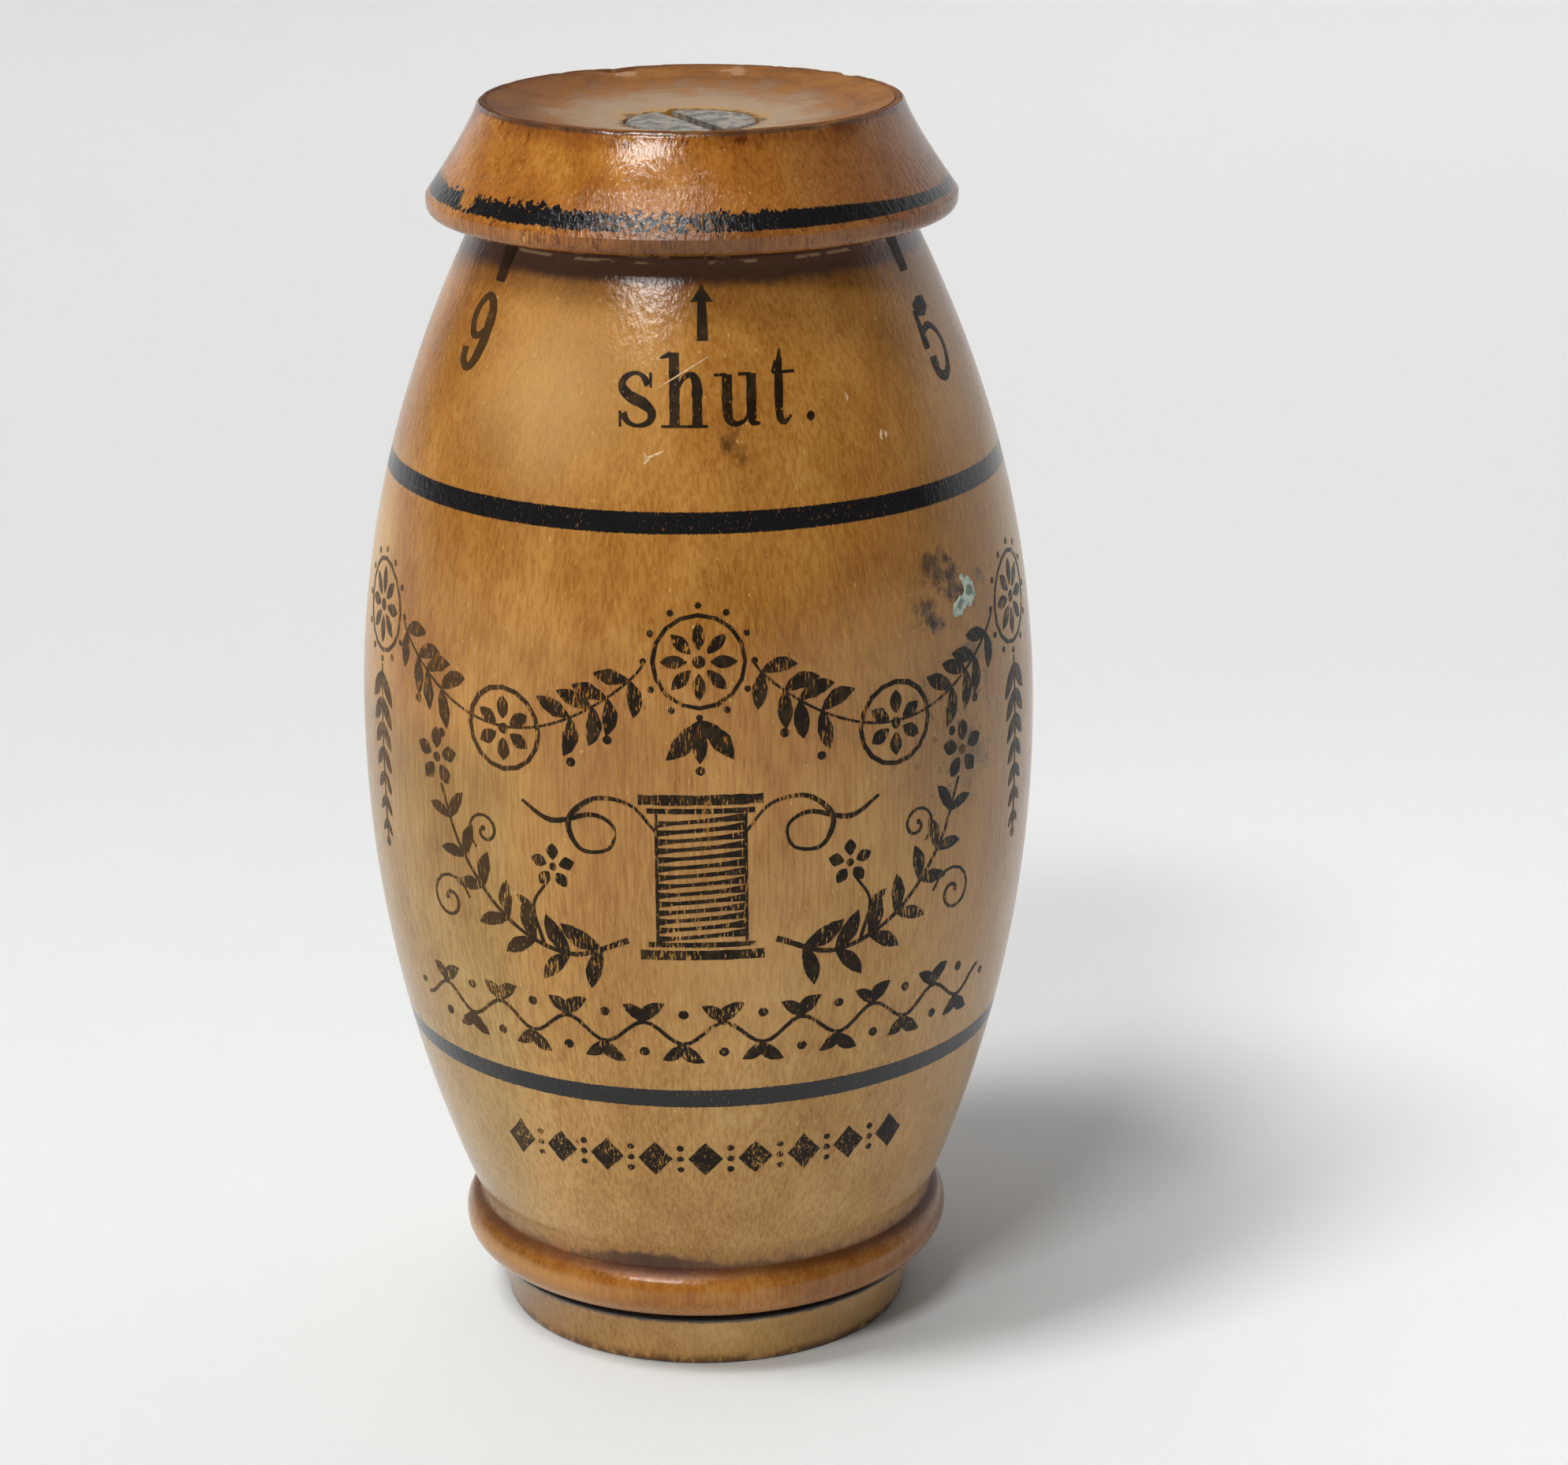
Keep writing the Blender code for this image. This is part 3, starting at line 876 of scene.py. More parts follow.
def draw_garland(ink):
    """Three rosettes with swags between them, and a tassel below each outer one."""
    level = 39.5
    reach = 20.0
    for across in (-reach, 0.0, reach):
        ink.blossom(across, level, 1.85, 8)
        ink.ring(across, level, 2.2, 0.2)
        for berry in range(12):
            turn = 2 * math.pi * berry / 12
            ink.dot(across + 2.65 * math.cos(turn), level + 2.65 * math.sin(turn), 0.32)
    for start, end in ((-17.4, -2.6), (2.6, 17.4)):
        draw_swag(ink, start, end, 39.4, 3.7)
    for across in (-reach, reach):
        draw_tassel(ink, across, 36.6, 27.5)
    for heading in (-50, -130):
        ink.leaf(0, 36.7, heading, 2.5, 0.95, 0.05)
    ink.leaf(0, 36.4, -90, 1.8, 0.75)
    ink.dot(0, 34.25, 0.46)


def draw_reel(ink, base):
    """A cotton reel with its thread looping out to both sides."""
    top = base + 8.0
    for level, reach, width in ((top, 3.0, 0.5), (top - 0.55, 2.6, 0.26), (base, 3.0, 0.5),
                                (base + 0.55, 2.6, 0.26)):
        ink.rule((-reach, level), (reach, level), width)
    low, high = base + 1.0, top - 1.05
    turns = 14
    for turn in range(turns):
        level = low + (high - low) * turn / (turns - 1)
        ink.line((-2.1, level - 0.16, 0.34), (-1.2, level - 0.09, 0.18), (1.0, level + 0.08, 0.22),
                 (2.1, level + 0.16, 0.4))
    for side in (-1, 1):
        ink.side = side
        ink.rule((2.15, low - 0.35), (2.15, high + 0.35), 0.16)
        ink.curve((2.1, base + 6.3, 0.14), (3.4, base + 7.7, 0.16), (5.2, base + 7.9, 0.24),
                  (6.5, base + 6.7, 0.3), (5.9, base + 5.3, 0.22), (4.5, base + 5.4, 0.16),
                  (4.2, base + 6.5, 0.16), (5.3, base + 7.1, 0.22), (7.4, base + 6.6, 0.26),
                  (9.0, base + 7.4, 0.14))
    ink.side = 1


def draw_sprigs(ink, base):
    """Flowering sprigs on both sides of the reel."""
    for side in (-1, 1):
        ink.side = side
        stem = [(3.6, base + 0.9, 0.3), (6.6, base - 0.1, 0.24), (10.0, base + 1.2, 0.2),
                (12.8, base + 4.2, 0.18), (14.2, base + 7.4, 0.14)]
        ink.curve(*stem)
        path = smooth_path(stem)
        for step, share in enumerate((0.1, 0.23, 0.36, 0.49, 0.62, 0.75, 0.88)):
            across, level, heading = along_curve(path, share)
            size = 1.0 - 0.35 * share
            ink.leaf(across, level, heading + 52, 2.5 * size, 0.98 * size, -0.06)
            ink.leaf(across, level, heading - 52, 2.3 * size, 0.9 * size, 0.06)
        ink.blossom(14.5, base + 8.7, 1.5, 5)
        ink.curve((8.0, base + 0.3, 0.2), (8.5, base + 2.2, 0.16), (7.7, base + 3.6, 0.14))
        ink.blossom(7.4, base + 4.4, 1.2, 5)
        ink.leaf(8.4, base + 1.9, 35, 1.3, 0.45)
        ink.spiral(13.9, base + 1.4, 1.5, 165, -1.4, 0.14)
        ink.spiral(11.3, base + 5.6, 1.1, -60, 1.3, 0.13)
    ink.side = 1


def draw_vine(ink, height, reach, period):
    """A running border: a waving stem with a leaf in each bend."""
    rows = 90
    sway = 0.6
    places = [-reach + 2 * reach * row / rows for row in range(rows + 1)]
    ink.film([Vector((across, height + sway * math.sin(2 * math.pi * across / period), 0.2))
              for across in places])
    bends = int(4 * reach / period)
    for bend in range(-bends // 2, bends // 2 + 1):
        across = (bend + 0.5) * period / 2
        if abs(across) > reach:
            continue
        up = 1 if bend % 2 == 0 else -1
        level = height + up * sway
        ink.leaf(across - 0.3, level - up * 0.05, up * 40, 1.7, 0.74, up * 0.08)
        ink.leaf(across + 0.1, level - up * 0.05, up * 140, 1.5, 0.66, -up * 0.08)
        ink.dot(across, height - up * 1.05, 0.5)
    for end in (-1, 1):
        ink.dot(end * (reach + 0.45), height, 0.42)


def draw_lozenges(ink, height, reach, pitch):
    """A border of lozenges between dots."""
    count = round(reach / pitch)
    for index in range(-count, count + 1):
        across = index * pitch
        ink.line((across - 0.85, height, 0.04), (across, height, 2.0), (across + 0.85, height, 0.04))
        if index < count:
            for level in (-0.65, 0.0, 0.65):
                ink.dot(across + pitch / 2, height + level, 0.36)


def draw_print(ink):
    """The barrel's printed ornament: garland, reel with sprigs and two borders."""
    ink.centre = 0.0
    draw_garland(ink)
    draw_reel(ink, 24.8)
    draw_sprigs(ink, 24.6)
    draw_vine(ink, 20.5, 16.5, 3.9)
    draw_lozenges(ink, 13.1, 10.0, 2.5)


def draw_scratches(ink):
    """Bare wood: a long scratch over the label, and four short ones below it."""
    ink.line((-1.82, 51.9, 0.03), (-0.6, 52.6, 0.09), (0.64, 53.3, 0.04))
    ink.line((-2.45, 48.55, 0.1), (-2.35, 48.75, 0.22), (-2.1, 48.9, 0.14), (-1.5, 49.15, 0.05))
    ink.line((-2.42, 49.05, 0.04), (-2.32, 48.8, 0.12))
    ink.centre = 31.5
    ink.line((0, 51.25, 0.04), (0.03, 51.05, 0.16), (0, 50.85, 0.04))
    ink.centre = 38.5
    ink.line((-0.1, 49.35, 0.04), (-0.12, 49.15, 0.2), (-0.2, 48.95, 0.12), (-0.1, 48.85, 0.05))
    ink.line((0.1, 49.25, 0.04), (0.14, 49.08, 0.16), (0.12, 48.9, 0.05))


def draw_splash(ink):
    """Two drops of paint that ran together, with a tail."""
    ink.centre = splash_angle
    ink.curve((0.2, 40.2, 0.3), (0.42, 40.5, 0.85), (0.5, 40.95, 0.98), (0.42, 41.35, 0.62),
              (0.3, 41.5, 0.3))
    ink.curve((-0.95, 40.0, 0.2), (-0.7, 40.15, 0.55), (-0.3, 40.4, 0.72), (0.1, 40.6, 0.5),
              (0.3, 40.75, 0.2))
    ink.curve((0.25, 41.1, 0.34), (0.12, 41.4, 0.26), (0.0, 41.75, 0.2), (-0.12, 41.55, 0.06))


def make_marks(ink_coat, bare_coat, paint_coat):
    """Print, dial, scratches and a splash of paint, each a film on the barrel."""
    ornament = Drawing()
    draw_print(ornament)
    ornament.finish("printed_ornament", ink_coat)
    dial = Drawing()
    draw_dial(dial)
    draw_label(dial)
    dial.finish("printed_dial", ink_coat)
    scratches = Drawing(lift=scratch_lift, ragged=0.5)
    draw_scratches(scratches)
    scratches.finish("bare_scratches", bare_coat)
    splash = Drawing(lift=splash_lift, ragged=0.6)
    draw_splash(splash)
    splash.finish("paint_speck", paint_coat)


def paint_wood(coat, tones):
    """Old varnished boxwood: soft mottling, upright grain, dark pores and pale flecks."""
    deep, middle, pale = tones
    patches = coat.noise(7.0, 1.6) * 0.6 + coat.noise(1.6, 2.2, 3.0, 0.6, 3.1) * 0.4
    coat.colour = coat.mix(patches.rise(0.34, 0.52), deep, middle)
    coat.paint(patches.rise(0.48, 0.64), pale)
    grain = coat.noise(0.17, 16.0, 3.0, 0.6, 7.7).rise(0.6, 0.36)
    coat.stain(grain, (0.8, 0.7, 0.55))
    fibres = coat.noise(0.11, 12.0, seed=5.3).rise(0.5, 0.72)
    coat.paint(fibres * 0.45, pale)
    pores = coat.noise(0.1, 10.0, 1.0, seed=11.9).rise(0.66, 0.76)
    coat.stain(pores * 0.6, (0.5, 0.36, 0.26))
    spots = coat.noise(0.42, 1.5, 1.0, seed=43.7).rise(0.79, 0.84)
    coat.stain(spots * 0.8, (0.4, 0.26, 0.2))
    flecks = coat.noise(0.2, 2.2, 1.0, seed=23.1).rise(0.73, 0.8)
    coat.paint(flecks * 0.5, (0.72, 0.46, 0.17))


def paint_sides(coat):
    """Uneven tone of the barrel: pale places, one of them a painted sheen; painted light at its far left
    and right; a painted veil of reflection on the right; and a sunny left.
    """
    # The first of these places is a painted sheen high on the left; the others are paler wood.
    for angle, height, reach, strength in pale_places_and_sheen:
        coat.paint(coat.near(angle, height, reach) * strength, (0.62, 0.37, 0.13))
    # Painted light: the barrel is paler at its far left and right, where the pale backdrop lights it
    lit_edges = coat.x.size().rise(14.0, 16.5) * coat.z.rise(33.0, 42.0)
    coat.paint(lit_edges * 0.65, (0.68, 0.43, 0.13))
    # A painted veil of reflection on the right, which makes the wood duller there
    coat.paint(coat.x.rise(7.0, 13.0) * 0.3, (0.35, 0.21, 0.085))
    left = coat.x.rise(-7.5, -10.5) * coat.z.rise(36.0, 33.0)
    coat.stain(left, (0.8, 0.87, 0.88))
    sunny = coat.noise(6.0, 1.5, seed=67.1).rise(0.4, 0.6) * coat.x.rise(-7.0, -13.0)
    coat.stain(sunny * coat.z.rise(34.0, 38.0), (0.84, 0.78, 0.6))


def paint_foot(coat, blotch):
    """Browner bead, paler ring, and grime in the crease, in the groove and along the base."""
    above = coat.z - crease_height
    bead = bead_share(coat)
    coat.stain(bead * (blotch.rise(0.3, 0.7) * 0.3 + 0.6), (0.76, 0.48, 0.18))
    coat.stain(above.rise(0.1, -0.1) * coat.x.size().rise(2.0, 8.0), (0.76, 0.72, 0.7))
    ring = coat.z.rise(ring_height + 0.1, ring_height - 0.1)
    coat.paint(ring * coat.x.rise(-6.0, 2.0) * 0.3, (0.6, 0.38, 0.14))
    coat.stain(above.rise(-0.15, 0.1) * above.rise(1.6, 0.3), (0.72, 0.64, 0.58))
    brown = above.rise(-0.8, -0.1) * above.rise(0.1, -0.05) * (blotch.rise(0.3, 0.7) * 0.5 + 0.5)
    coat.stain(brown * 0.6, (0.46, 0.32, 0.3))
    honey = coat.x.rise(-2.0, -7.0) * bead * above.rise(-0.6, -1.2)
    coat.paint(honey * 0.45, (0.55, 0.28, 0.08))
    dark = coat.near(stain_angle, crease_height, stain_reach)
    crease = above.rise(-0.45, -0.1) * (above + (blotch - 0.5) * 1.8 - dark * 0.7).rise(0.5, 0.0)
    coat.stain(crease * (dark * 0.35 + 0.6), (0.2, 0.13, 0.17))
    coat.stain(coat.z.rise(0.75, 0.1) * blotch.rise(0.36, 0.52), (0.3, 0.22, 0.18))
    groove = (coat.z - (ring_height + groove_width / 2)).size() + (blotch - 0.5) * 0.3
    coat.paint(groove.rise(0.5, 0.3) * 0.95, (0.035, 0.034, 0.036))


def paint_shoulder(coat, blotch):
    """Painted shade, with some grime, where the cap overhangs the barrel, and bare wood at the shoulder's
    worn edge.
    """
    # Painted shade under the cap's overhang, with some grime in it: a soft darkening, then a full dark band
    coat.stain(coat.z.rise(*shade_heights) * 0.5, (0.62, 0.5, 0.42))
    shade_and_grime = (coat.z + (blotch - 0.5) * 0.7).rise(*shade_and_grime_heights)
    coat.paint(shade_and_grime * 0.9, (0.075, 0.035, 0.025))
    dashes = coat.noise(1.2, 0.4, seed=27.1).rise(0.5, 0.58)
    dashes = dashes * (coat.z - (barrel_top - shoulder_edge)).size().rise(0.1, 0.05)
    coat.paint(dashes * 0.75, (0.36, 0.22, 0.12))
    worn = coat.noise(1.5, 1.0, 3.0, 0.6, 2.2).rise(0.52, 0.62)
    worn = worn * coat.z.rise(barrel_top - 0.2, barrel_top - 0.1)
    coat.paint(worn * 0.6, (0.45, 0.27, 0.14))


def paint_smudges(coat):
    """Smudges of an old stain, one of them a painted shadow round the splash of paint, and specks of grime
    below them.
    """
    cloud = coat.noise(0.9, 1.2, 5.0, 0.7, 17.3)
    # One of these marks, at 52 degrees and 40.8 mm high, is a painted shadow round the splash of paint
    for angle, height, reach, strength in smudges_and_speck_shadow:
        near = coat.near(angle, height, reach)
        mark = (near + (cloud - 0.5) * 3.0).rise(0.45, 1.15) * near.rise(0.0, 0.3)
        coat.stain(mark * strength, (0.13, 0.17, 0.4))
    near = coat.near(*grime)
    specks = coat.noise(0.45, 1.3, 3.0, 0.6, 33.3).rise(0.56, 0.64) * near
    coat.stain(specks.most(near * 0.35), (0.4, 0.44, 0.58))


def paint_barrel(coat):
    """The barrel's wood, paler towards the foot, with all that lies on it but bands and print."""
    paint_wood(coat, [coat.mix(coat.z.rise(16.0, 42.0), low, high)
                      for low, high in zip(tones_low, tones_high)])
    blotch = coat.noise(0.9, 1.4, 4.0, 0.65, 31.7)
    paint_sides(coat)
    paint_foot(coat, blotch)
    paint_shoulder(coat, blotch)
    paint_smudges(coat)


def bead_share(coat):
    """1 on the bead of the foot and 0 off it."""
    return (coat.z - bead_centre).size().rise(bead_half_height + 0.1, bead_half_height - 0.2)


def varnish(coat, roughness, ripple, grain=0.005, cell=0.3, tall=2.0, shine=0.42):
    """Gloss of thin old varnish, rippled by the grain below it."""
    ripples = coat.noise(cell, tall, 3.0, 0.6, 13.3)
    fibres = coat.noise(0.11, 10.0, seed=19.1)
    uneven = coat.noise(1.8, 1.6, 3.0, 0.6, 41.3)
    return coat.set(Normal=coat.bump(fibres, grain, coat.bump(ripples, ripple)),
                    Roughness=uneven * 0.16 + (roughness - 0.08), Specular_IOR_Level=shine)


def ink_share(coat):
    """Where ink holds: it is missing from upright fibres, and least so high on the barrel."""
    fibres = coat.noise(0.09, 6.0, 2.0, 0.6, 29.9)
    patches = coat.noise(2.4, 1.3, 3.0, 0.6, 37.1)
    wear = coat.z.rise(47.0, 44.0) * 0.05 + 0.02
    return (fibres * 0.65 + patches * 0.35 + wear).rise(0.7, 0.62)


def barrel_finish():
    """Varnished wood with its two painted bands, scratched through in places."""
    coat = Finish("varnished_boxwood")
    paint_barrel(coat)
    ragged = (coat.noise(0.12, 2.0, seed=47.7) - 0.5) * 0.12
    lower, upper = (((coat.z - (low + band_width / 2)).size() + ragged).rise(0.525, 0.475)
                    for low in (lower_band, upper_band))
    scratches = coat.noise(0.07, 14.0, seed=53.1).rise(0.64, 0.74)
    worn = coat.noise(3.0, 0.8, seed=59.3).rise(0.42, 0.62)
    coat.paint(lower.most(upper) * ((scratches * worn) * -0.6 + 1.0), black)
    bead = bead_share(coat)
    dirty = (coat.z - crease_height).rise(-0.5, -0.15) * bead
    return varnish(coat, bead * -0.03 + dirty * 0.35 + 0.19, 0.028)


def ink_finish():
    """Printed ink on the barrel: the same wood shows wherever the ink has gone."""
    coat = Finish("printing_ink")
    brown = coat.noise(0.6, 1.6, 3.0, 0.6, 61.1).rise(0.45, 0.7)
    ink = coat.mix(brown * 0.7, (0.012, 0.007, 0.003), (0.045, 0.026, 0.01))
    # To the right the ink turns bluish grey: a painted reflection of the pale backdrop
    ink = coat.mix(coat.x.rise(7.0, 14.0) * 0.6, ink, (0.02, 0.026, 0.027))
    ink = coat.mix(coat.x.rise(-6.0, -11.0) * 0.6, ink, (0.08, 0.038, 0.012))
    paint_barrel(coat)
    coat.paint(ink_share(coat), ink)
    return varnish(coat, 0.36, 0.028, shine=0.12)


def scratch_finish():
    """Bare wood where the varnish is scratched through."""
    coat = Finish("bare_boxwood")
    fibres = coat.noise(0.15, 1.5, seed=83.9)
    coat.colour = coat.mix(fibres.rise(0.4, 0.6), (0.44, 0.26, 0.12), (0.68, 0.46, 0.25))
    return coat.set(Roughness=0.6, Normal=coat.bump(fibres, 0.01))


def speck_finish():
    """A splash of dried paint: pale green, worn through to the dark below."""
    coat = Finish("dried_paint")
    worn = coat.noise(0.3, 1.0, 3.0, 0.6, 89.3)
    coat.colour = coat.mix(worn.rise(0.42, 0.6), (0.5, 0.56, 0.47), (0.3, 0.4, 0.35))
    for across, height, size in splash_drops:
        angle = splash_angle + math.degrees(across / swell(height))
        hollow = coat.near(angle, height, size * 0.45) + (worn - 0.5) * 1.5
        coat.paint(hollow.rise(0.1, 0.4) * 0.8, (0.09, 0.12, 0.1))
    return coat.set(Roughness=0.5, Normal=coat.bump(worn, 0.03))


def paint_flank(coat, blotch):
    """The cap's stained wood, with dark fibres: darker to the right, partly its wood and partly painted
    shade, and painted shade in front low on the brim.
    """
    paint_wood(coat, tones_cap)
    coat.stain(blotch.rise(0.54, 0.76) * 0.5, (0.5, 0.36, 0.26))
    # Darker to the right: partly a darker wood, partly painted shade on the side turned from the lamps
    coat.stain(coat.x.rise(1.0, 7.5), (0.62, 0.58, 0.9))
    below = coat.z.rise(cap_band + 0.1, cap_band - 0.1)
    broken = coat.noise(0.45, 0.9, 3.0, 0.6, 21.7).rise(0.4, 0.62)
    fibres = coat.noise(0.1, 11.0, 1.0, seed=67.9).rise(0.42, 0.6) * blotch.rise(0.35, 0.6)
    coat.stain(below * fibres * broken, (0.36, 0.25, 0.19))
    # Painted shade in front, low on the brim below the band
    coat.stain(below * coat.x.size().rise(6.5, 1.0) * 0.9, (0.45, 0.42, 0.6))


def paint_cap_band(coat):
    """The cap's black band: broken at one place, ragged to the left and rubbed in front."""
    teeth = coat.noise(0.2, 2.6, 2.0, 0.6, 79.9) - 0.5
    teeth = teeth + (coat.noise(1.2, 1.0, 1.0, seed=45.9) - 0.5) * 0.4
    ragged = teeth * (coat.x.rise(9.0, -2.0) * 1.1 + 0.1)
    top = coat.z - (cap_band + cap_band_width) + ragged + coat.x.rise(5.0, 12.5) * 0.3
    bottom = coat.z - cap_band + ragged * 0.3
    band = top.rise(0.04, -0.04) * bottom.rise(-0.04, 0.04) * coat.radius.rise(10.6, 11.2)
    band = band * (coat.away(band_gap) + ragged).rise(0.5, 0.7)
    streaks = coat.noise(0.2, 5.0, 2.0, 0.55, 71.3).rise(0.5, 0.6)
    worn = streaks * coat.away(band_rub).rise(4.0, 0.5) * 0.8
    scratches = coat.noise(0.08, 10.0, seed=53.1).rise(0.68, 0.76) * 0.6
    coat.paint(band * worn.most(scratches).rest(), black)


def paint_rim(coat, blotch):
    """Brown patches and nicks below the cap's rim, and grime on it."""
    brown = coat.z.rise(cap_top - 1.3, cap_top - 0.1)
    brown = brown * coat.noise(2.6, 0.5, 4.0, 0.6, 5.9).rise(0.4, 0.62)
    coat.stain(brown * 0.75, (0.42, 0.27, 0.2))
    nicks = coat.noise(0.28, 4.0, seed=87.3).rise(0.6, 0.68)
    nicks = nicks * coat.z.rise(cap_top - 1.5, cap_top - 0.4)
    coat.stain(nicks * 0.8, (0.35, 0.24, 0.18))
    rim = coat.z.rise(cap_top - 0.3, cap_top - 0.16) * coat.radius.rise(rim_inner_radius, 10.3)
    coat.paint(rim * (blotch.rise(0.25, 0.55) * 0.5 + 0.25), (0.04, 0.026, 0.018))


def paint_dish(coat, blotch):
    """Dull, dusty wood in the dish, darker at its wall and torn round the screw, with painted shade on its
    left and in the gap round the screw.
    """
    deep, middle, dusty = tones_dish
    wobble = coat.noise(3.0, detail=1.0) * 0.5 + coat.radius
    rings = coat.noise(0.3, seed=73.1, place=coat.node("CombineXYZ", {"X": wobble}))
    cloud = coat.noise(2.2, 1.0, 4.0, 0.6, 97.7)
    coat.colour = coat.mix((rings * 0.35 + cloud * 0.65).rise(0.36, 0.58), deep, middle)
    dust = (coat.radius + (cloud - 0.5) * 7.0).rise(8.2, 4.5)
    coat.paint(dust * 0.8, dusty)
    # Painted shade on the left of the dish, where its rim shades it from the key lamp
    coat.stain(coat.x.rise(-3.0, -9.0) * coat.radius.rise(6.0, 9.0), (0.62, 0.55, 0.5))
    for x, y in chips:
        chip = coat.away((x, y, cap_top - 0.3)) + (blotch - 0.5) * 2.6
        coat.paint(chip.rise(0.7, 0.3) * 0.5, (0.46, 0.28, 0.16))
    wall = coat.radius.rise(rim_inner_radius - 0.25, rim_inner_radius)
    coat.stain(wall, (0.62, 0.57, 0.57))
    torn = (coat.radius + (blotch - 0.5) * 2.4).rise(4.2, 3.7) * coat.y.rise(-1.0, 1.5)
    coat.paint(torn * 0.75, (0.4, 0.23, 0.075))
    # Painted shade in the gap round the screw's head
    gap_shade = (coat.radius + (blotch - 0.5) * 1.8).rise(3.7, 3.35)
    coat.stain(gap_shade * 0.7, (0.22, 0.16, 0.12))


def cap_finish():
    """Stained wood with thick varnish, which ripples most low on the flank."""
    coat = Finish("stained_boxwood")
    blotch = coat.noise(0.8, 1.6, 4.0, 0.65, 31.7)
    paint_flank(coat, blotch)
    paint_cap_band(coat)
    paint_rim(coat, blotch)
    ripple = coat.z.rise(cap_top - 2.3, cap_top - 2.8) * 0.04 + 0.025
    return varnish(coat, 0.15, ripple, 0.004, 0.28, tall=3.2)


def dish_finish():
    """Worn, dusty wood."""
    coat = Finish("dusty_boxwood")
    paint_dish(coat, coat.noise(0.8, 1.6, 4.0, 0.65, 31.7))
    return varnish(coat, 0.62, 0.03, 0.004, 0.6, shine=0.3)


def iron_finish():
    """Old iron: mottled grey, rusty at the head's edge and dark in the slot."""
    coat = Finish("old_iron")
    cloud = coat.noise(0.8, 1.0, 4.0, 0.65, 3.3)
    scratch = coat.noise(0.14, 1.0, 3.0, 0.7, 9.7)
    coat.colour = coat.mix(cloud.rise(0.38, 0.6), (0.17, 0.165, 0.145), (0.5, 0.455, 0.375))
    rust = (cloud + (coat.radius - head_radius) * 0.35).rise(0.46, 0.6)
    coat.paint(rust * 0.85, (0.16, 0.1, 0.055))
    coat.paint(coat.z.rise(screw_top - 0.2, screw_top - slot_depth) * 0.9, (0.03, 0.025, 0.022))
    return coat.set(Metallic=0.7, Roughness=scratch * 0.25 + 0.38,
                    Normal=coat.bump(scratch * 0.5 + cloud * 0.5, 0.05))


def needle_finish(position, low, high):
    """Bright steel with a little tarnish, and a gilt eye end."""
    coat = Finish(f"needle_steel_{position}")
    tarnish = coat.noise(0.6, 8.0, 4.0, 0.6, 3.7)
    coat.colour = coat.mix(tarnish.rise(0.55, 0.75) * 0.6, (0.6, 0.61, 0.63), (0.3, 0.26, 0.21))
    gilt = (coat.z - (high - (high - low) * gilt_share)).rise(-0.4, 0.4)
    coat.paint(gilt, (0.78, 0.53, 0.18))
    return coat.set(Metallic=1.0, Roughness=tarnish.rise(0.4, 0.8) * 0.25 + 0.16,
                    Normal=coat.bump(coat.noise(0.08, 14.0, seed=5.1), 0.002))


def dress_needles():
    """Keep the solids of the needles, and give each size's needles their coat."""
    for position in range(1, positions):
        size = first_size + position - 1
        names = [name for name in frame["nodes"] if name.startswith(f"needle_{size}_")]
        low, high = (corner.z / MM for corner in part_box(names[0]))
        coat = needle_finish(position, low, high)
        for name in names:
            for slot in frame["nodes"][name].material_slots:
                slot.material = coat


def make_camera():
    """The photograph's camera, by its lens, place and three turns."""
    lens = bpy.data.cameras.new("camera")
    lens.sensor_fit = "HORIZONTAL"
    lens.sensor_width = sensor_width
    lens.lens = lens_pixels / image_width * sensor_width
    lens.clip_start = 0.01
    camera = bpy.data.objects.new("camera", lens)
    place = Matrix.Translation(Vector((0, -camera_distance, camera_height)) * MM)
    turn = Matrix.Rotation(math.radians(-camera_yaw), 4, "Z")
    tilt = Matrix.Rotation(math.radians(90 - camera_pitch), 4, "X")
    roll = Matrix.Rotation(math.radians(camera_roll), 4, "Z")
    camera.matrix_world = place @ turn @ tilt @ roll
    bpy.context.collection.objects.link(camera)
    bpy.context.scene.camera = camera


def make_light(name, azimuth, elevation, distance, width, height, power):
    """Area light that faces the case."""
    area = bpy.data.lights.new(name, "AREA")
    area.shape = "RECTANGLE"
    area.size = width * MM
    area.size_y = height * MM
    area.energy = power
    light = bpy.data.objects.new(name, area)
    light.visible_glossy = False
    away = heading(azimuth, elevation)
    light.location = (away * distance + Vector((0, 0, cap_bottom / 2))) * MM
    light.rotation_euler = away.to_track_quat("Z", "Y").to_euler()
    bpy.context.collection.objects.link(light)


def make_stage():
    """A pale paper floor, a little paler to the right and in the distance: these changes of brightness are
    painted light, standing in for the studio's uneven lighting.
    """
    coat = Finish("floor_paper")
    near = coat.mix(coat.x.rise(-10.0, 45.0), (0.735, 0.755, 0.75), (0.795, 0.805, 0.805))
    middle = coat.mix(coat.x.rise(-70.0, 70.0), (0.675, 0.68, 0.675), (0.705, 0.71, 0.705))
    far = coat.mix(coat.x.rise(-140.0, 140.0), (0.705, 0.71, 0.705), (0.81, 0.815, 0.8))
    colour = coat.mix(coat.y.rise(20.0, 130.0), near, middle)
    colour = coat.mix(coat.y.rise(130.0, 450.0), colour, far)
    coat.set(Base_Color=colour, Roughness=0.9)
    bm = bmesh.new()
    bmesh.ops.create_grid(bm, x_segments=1, y_segments=1, size=3.0)
    mesh = bpy.data.meshes.new("floor")
    bm.to_mesh(mesh)
    bm.free()
    floor = add_object("floor", mesh, coat.material)


def heading(azimuth, elevation):
    """Direction away from the case; azimuth 0 is in front of it, and + is to the right."""
    turn = math.radians(azimuth)
    rise = math.radians(elevation)
    return Vector((math.sin(turn) * math.cos(rise), -math.cos(turn) * math.cos(rise), math.sin(rise)))


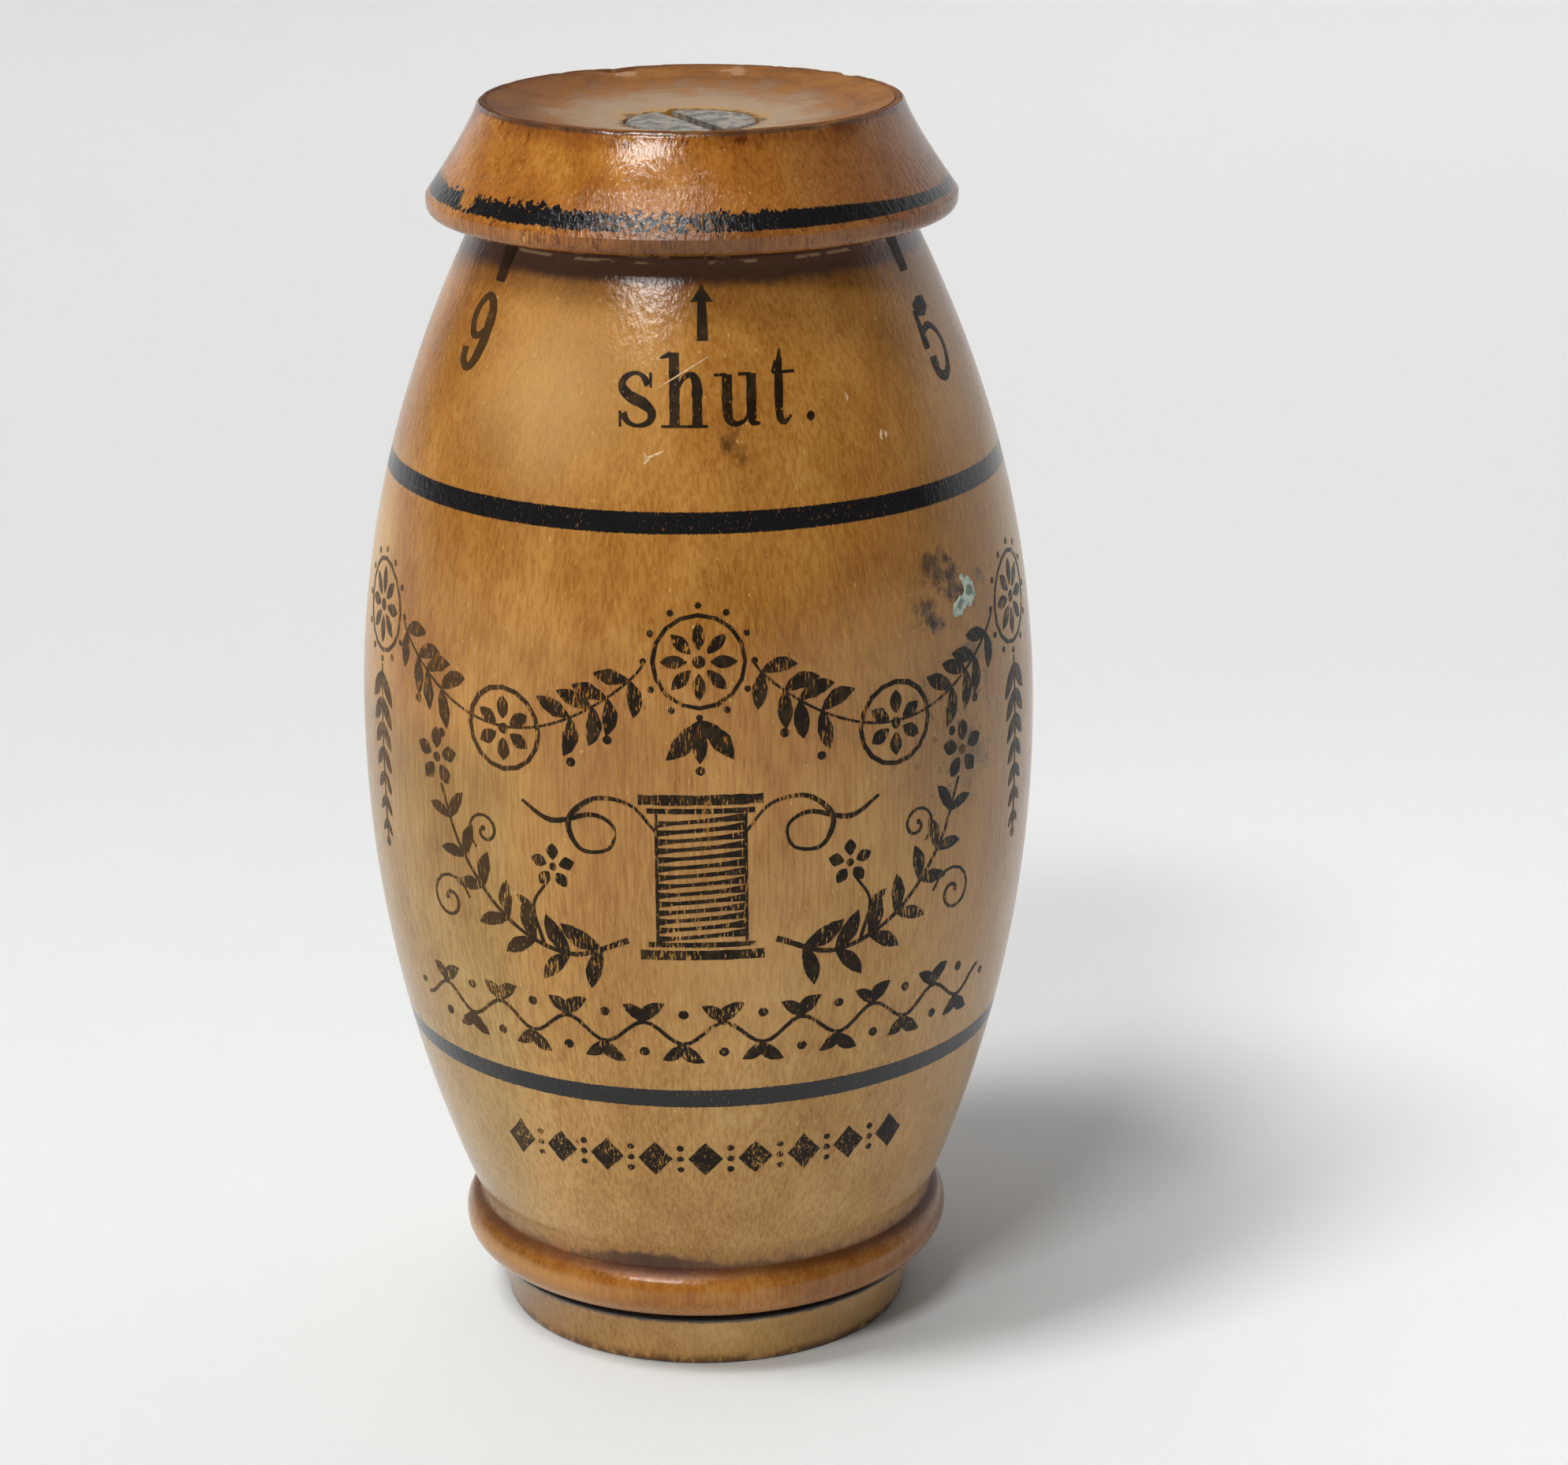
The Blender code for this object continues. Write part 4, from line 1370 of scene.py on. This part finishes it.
def window_share(tree, azimuth, elevation, reach, rise):
    """1 where a ray leaves through a window of the room, and 0 elsewhere."""
    away = heading(azimuth, elevation)
    beside = heading(azimuth + 90, 0)
    ray = tree.nodes.new("ShaderNodeTexCoord").outputs["Generated"]
    fields = []
    for axis in (away, beside, away.cross(beside)):
        made = tree.nodes.new("ShaderNodeVectorMath")
        made.operation = "DOT_PRODUCT"
        made.inputs[1].default_value = axis
        tree.links.new(ray, made.inputs[0])
        fields.append(Field(tree, made.outputs["Value"]))
    ahead, across, up = fields
    return across.size().rise(reach * 1.1, reach) * up.size().rise(rise * 1.2, rise) * ahead.rise(0.0, 0.1)


def make_world():
    """A pale studio behind and at the sides, and a darker room in front, most of all to the right."""
    world = bpy.data.worlds.new("studio")
    world.use_nodes = True
    bpy.context.scene.world = world
    tree = world.node_tree
    path = tree.nodes.new("ShaderNodeLightPath")
    camera, glossy, clear = (Field(tree, path.outputs[f"Is {kind} Ray"])
                             for kind in ("Camera", "Glossy", "Transmission"))
    parts = tree.nodes.new("ShaderNodeSeparateXYZ")
    tree.links.new(tree.nodes.new("ShaderNodeTexCoord").outputs["Generated"], parts.inputs[0])
    across, ahead, up = (Field(tree, out) for out in parts.outputs)
    room = (ahead + across * 0.3).rise(0.7, 0.35).most(up.rise(0.2, 0.55) * 0.65)
    mirrored = room * (room_strength - backdrop_strength) + backdrop_strength
    for *window, strength in windows:
        mirrored = mirrored.most(window_share(tree, *window) * strength)
    bounced = glossy.most(clear)
    dim = (across * 0.5 - ahead * 0.87).rise(-0.1, 0.5)
    fill = (dim * (fill_low - fill_high) + fill_high) * bounced.rest()
    background = tree.nodes["Background"]
    join(tree, background.inputs["Color"], (1.0, 1.0, 1.0))
    strength = (camera * backdrop_strength).most(mirrored * bounced).most(fill)
    join(tree, background.inputs["Strength"], strength)


def main():
    scene = bpy.context.scene
    scene.view_settings.view_transform = "Standard"
    make_camera()
    make_world()
    make_stage()
    for name, values in lights.items():
        make_light(name, *values)
    make_barrel(barrel_finish())
    make_cap(cap_finish(), dish_finish())
    make_screw(iron_finish())
    make_marks(ink_finish(), scratch_finish(), speck_finish())
    dress_needles()


main()
